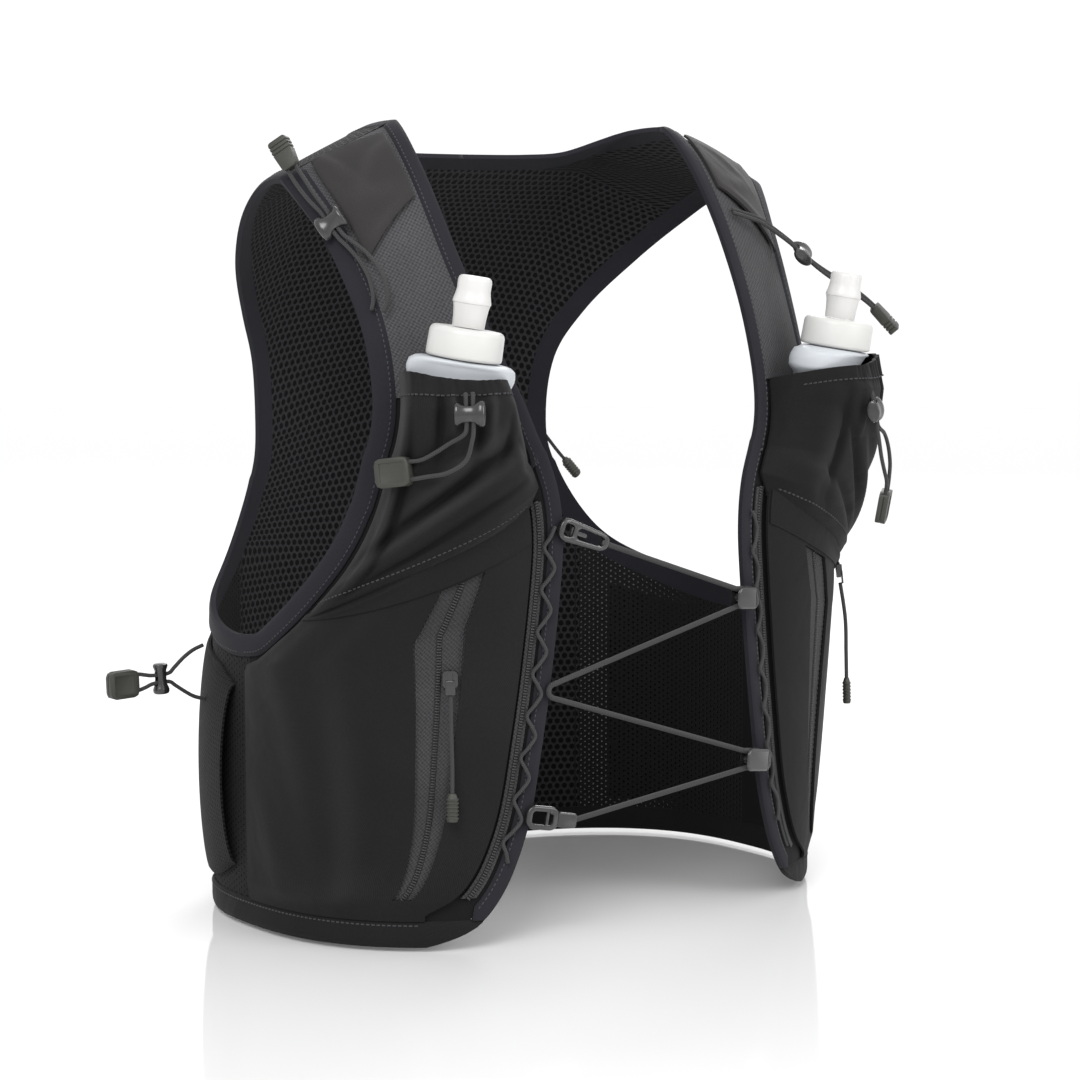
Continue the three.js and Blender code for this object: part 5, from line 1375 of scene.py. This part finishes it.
# Free elastic cords, each folded double through a lock into an end piece
CORD_DIAMETER = 2.2
CORD_LOOPS = [
    ("shoulder_cord", "right", (-0.8, -0.5, 0.1), 6, "tip", [
        (-147.6, -62.2, -100, 7), (-146, -62.4, -94, 8), (-145.8, -60.6, -87, 8), (-146.8, -56.6, -79, 7),
        (-149.6, -50.4, -71, 5.4), (-154, -44.6, -64.6, 3.6), (-156.8, -40, -60, 3.2),
        (-161.2, -32.4, -48.4, 3.2), (-164.6, -26.2, -41, 4.4), (-167, -19.4, -33, 5.2),
        (-169, -14, -25.6, 5.2), (-171, -7.6, -15.4, 5.2)]),
    ("shoulder_cord", "left", (0.3, -0.6, 0.73), 5, "tip", [
        (96, -60.6, -47.2, 4), (103.6, -64, -49.6, 4.4), (112, -66.6, -52.6, 4.4), (120, -68.4, -57.4, 4.2),
        (128, -70.4, -62.8, 3.4), (133, -72, -66.8, 3.2), (143, -76, -76, 3.2), (150, -80, -82, 5.4),
        (158, -84.6, -87.8, 7), (167, -89.6, -94.4, 6.4), (175, -94.4, -102, 5.2),
        (183, -98.6, -111.4, 5.2)]),
    ("pocket_cord", "right", (-0.66, -0.74, 0.1), 1, "clip", [
        (-141.8, -135.5, -139.6, 3.6), (-142.4, -136.7, -143, 3.6), (-142.6, -137.5, -157, 3.6),
        (-143.6, -136.4, -162.4, 5.6), (-145.6, -131, -169.4, 12), (-151.6, -125.8, -174.6, 12),
        (-157.6, -118.6, -177.8, 9), (-161.8, -112.4, -179.2, 9), (-167.4, -102, -180.8, 9)]),
    ("pocket_cord", "left", (0.6, -0.79, 0.05), 1, "clip", [
        (132.4, -137.6, -147.4, 3.6), (133.2, -139, -151, 3.6), (135.2, -140, -165, 3.6),
        (138, -139, -170.4, 6.4), (144.4, -135.4, -178, 18), (150, -132.4, -186, 21),
        (154.6, -129.4, -194, 17), (156.6, -127, -200.4, 11), (157.2, -125.4, -205.4, 9),
        (157.4, -122.6, -216, 9)]),
    ("side_cord", "right", (0, -1, 0), 4, "clip", [
        (-182.6, 60, -301, 30), (-189, 60, -301.2, 26), (-195, 60, -301.4, 19), (-201, 60, -301.8, 10),
        (-205, 60, -302, 4.6), (-214.6, 60, -302.4, 4.6), (-219.6, 60, -302.8, 7), (-224.6, 60, -303, 9),
        (-234.6, 60, -303.4, 9)]),
]


def lock_piece(name, spread, length):
    """A spool with flared ends across the cord and a ringed push button on its top."""
    half = (spread + 12) / 2
    obj = turned(name, [
        (0, -half), (3.6, -half), (4.3, -half + 0.4), (4.6, -half + 1.2), (4.3, -half + 2.2),
        (3.6, -half + 3.6), (3.5, 0), (3.7, half - 5.4), (4.7, half - 3.4), (5, half - 2.4), (5, half - 1.2),
        (4.6, half - 0.4),
        (4, half), (3.3, half), (3.1, half - 0.7), (2.6, half - 0.7), (2.3, half - 0.2), (0, half)], 36)
    obj.data.transform(Matrix.Diagonal((0.82, length / 10.4, 1, 1)))
    obj.data.transform(Matrix(((0, 0, 1, 0), (1, 0, 0, 0), (0, 1, 0, length / 2 * MM), (0, 0, 0, 1))))
    reach = (spread + CORD_DIAMETER + 1) / 2
    slot = slab("slot", (-reach, -1.6, -9), (reach, 1.6, length + 9), 1.4, 0)
    combine(obj, slot, "DIFFERENCE")
    return soften(obj, 0.2)


def end_piece(name, width, length, end):
    """A flat two-layer plate for a clip, or a tapered sleeve for a tip."""
    obj = slab(name, (-width / 2, -2.8, 0), (width / 2, 2.8, length), 0, 0)
    edit(obj)
    pick(obj, lambda a, b: abs(a.y - b.y) > 0.01)
    bpy.ops.mesh.bevel(offset=(3.2 if end == "clip" else 1.8) * MM, offset_type="OFFSET",
                       segments=2 if end == "clip" else 4, affect="EDGES")
    finish_edit(obj)
    if end == "clip":
        groove = slab("groove", (-width, -0.3, 2), (width, 0.3, length + 4), 0, 0)
        core = slab("core", (-width / 2 + 0.7, -1, 1.5), (width / 2 - 0.7, 1, length - 0.7), 0, 0)
        combine(groove, core, "DIFFERENCE")
        combine(obj, groove, "DIFFERENCE")
        dish = slab("dish", (-width / 2 + 2.4, 2.3, 2.8), (width / 2 - 2.4, 5, length - 2.8), 0, 0)
        combine(obj, dish, "DIFFERENCE")
    else:
        for k in range(3):
            low = length - 3.4 - 2.2 * k
            ring = slab("ring", (-width, -4, low), (width, 4, low + 0.7), 0, 0)
            core = slab("core", (-width / 2 + 0.5, -2.3, low - 1), (width / 2 - 0.5, 2.3, low + 2), 0, 0)
            combine(ring, core, "DIFFERENCE")
            combine(obj, ring, "DIFFERENCE")
        for vertex in obj.data.vertices:
            vertex.co.x *= 0.74 + 0.26 * min(1, max(0, vertex.co.z / MM / length * 1.6))
    return soften(obj, 0.4)


for label, hand, out, lock, end, line in CORD_LOOPS:
    spots = [Vector(p[:3]) for p in line]
    spread = [p[3] for p in line]
    last = len(spots) - 1
    aside = [(spots[min(i + 1, last)] - spots[max(i - 1, 0)]).cross(Vector(out)).normalized()
             for i in range(last + 1)]
    strands = [[s + a * (sign * w / 2) for s, a, w in zip(spots, aside, spread)] for sign in (1, -1)]
    run = (spots[last] - spots[last - 1]).normalized()
    turn = half_turn(spots[last], spread[last] / 2, aside[last], run, 5)
    route = rounded_route([*strands[0][:-1], *turn, *strands[1][:-1][::-1]], 1.0)
    lock_run = spots[lock + 1] - spots[lock]
    lock_obj = settle(lock_piece(f"{label}_toggle_{hand}", spread[lock], lock_run.length),
                      frame_at(spots[lock], lock_run, out), PLASTIC, [f"{label}_lock_{hand}"])
    reach = (spots[last] - spots[last - 1]).length + spread[last] / 2 + 1.6 + 1.4
    end_obj = settle(end_piece(f"{label}_end_{hand}", spread[last] + 6, reach, end),
                     frame_at(spots[last - 1], run, out), GRIP, [f"{label}_{end}_{hand}"], "grip_rubber")
    cord = cord_mesh(f"{label}_loop_{hand}", route, CORD_DIAMETER)
    dress(cord, f"{label}_{hand}", slot="elastic_cord")

# Floor, lights and surroundings
FLOOR_HEIGHT = -0.4385
bpy.ops.object.select_all(action="DESELECT")
bpy.ops.mesh.primitive_plane_add(size=60, location=(0, 0, FLOOR_HEIGHT))
floor = bpy.context.object
floor.name = "floor"
floor.data.materials.append(shader("pale floor", (0.8, 0.8, 0.8), 0.07, specular=0.8)[0])

world = bpy.data.worlds.new("white studio")
world.use_nodes = True
world.node_tree.nodes["Background"].inputs[0].default_value = (1, 1, 1, 1)
world.node_tree.nodes["Background"].inputs[1].default_value = 1.05
bpy.context.scene.world = world
bpy.context.scene.view_settings.view_transform = "Standard"


def soft_light(name, place, size, power, target=(0, 0, -0.2)):
    light = bpy.data.lights.new(name, "AREA")
    light.size = size
    light.energy = power
    obj = bpy.data.objects.new(name, light)
    obj.location = place
    obj.rotation_euler = (Vector(target) - Vector(place)).to_track_quat("-Z", "Y").to_euler()
    bpy.context.collection.objects.link(obj)


soft_light("key light", (-1.6, -1.2, 1.3), 1.2, 38)
soft_light("front fill", (0.9, -2.2, 0.7), 1.4, 26)
soft_light("rim light", (1.4, 1.2, 1.2), 1.0, 22)
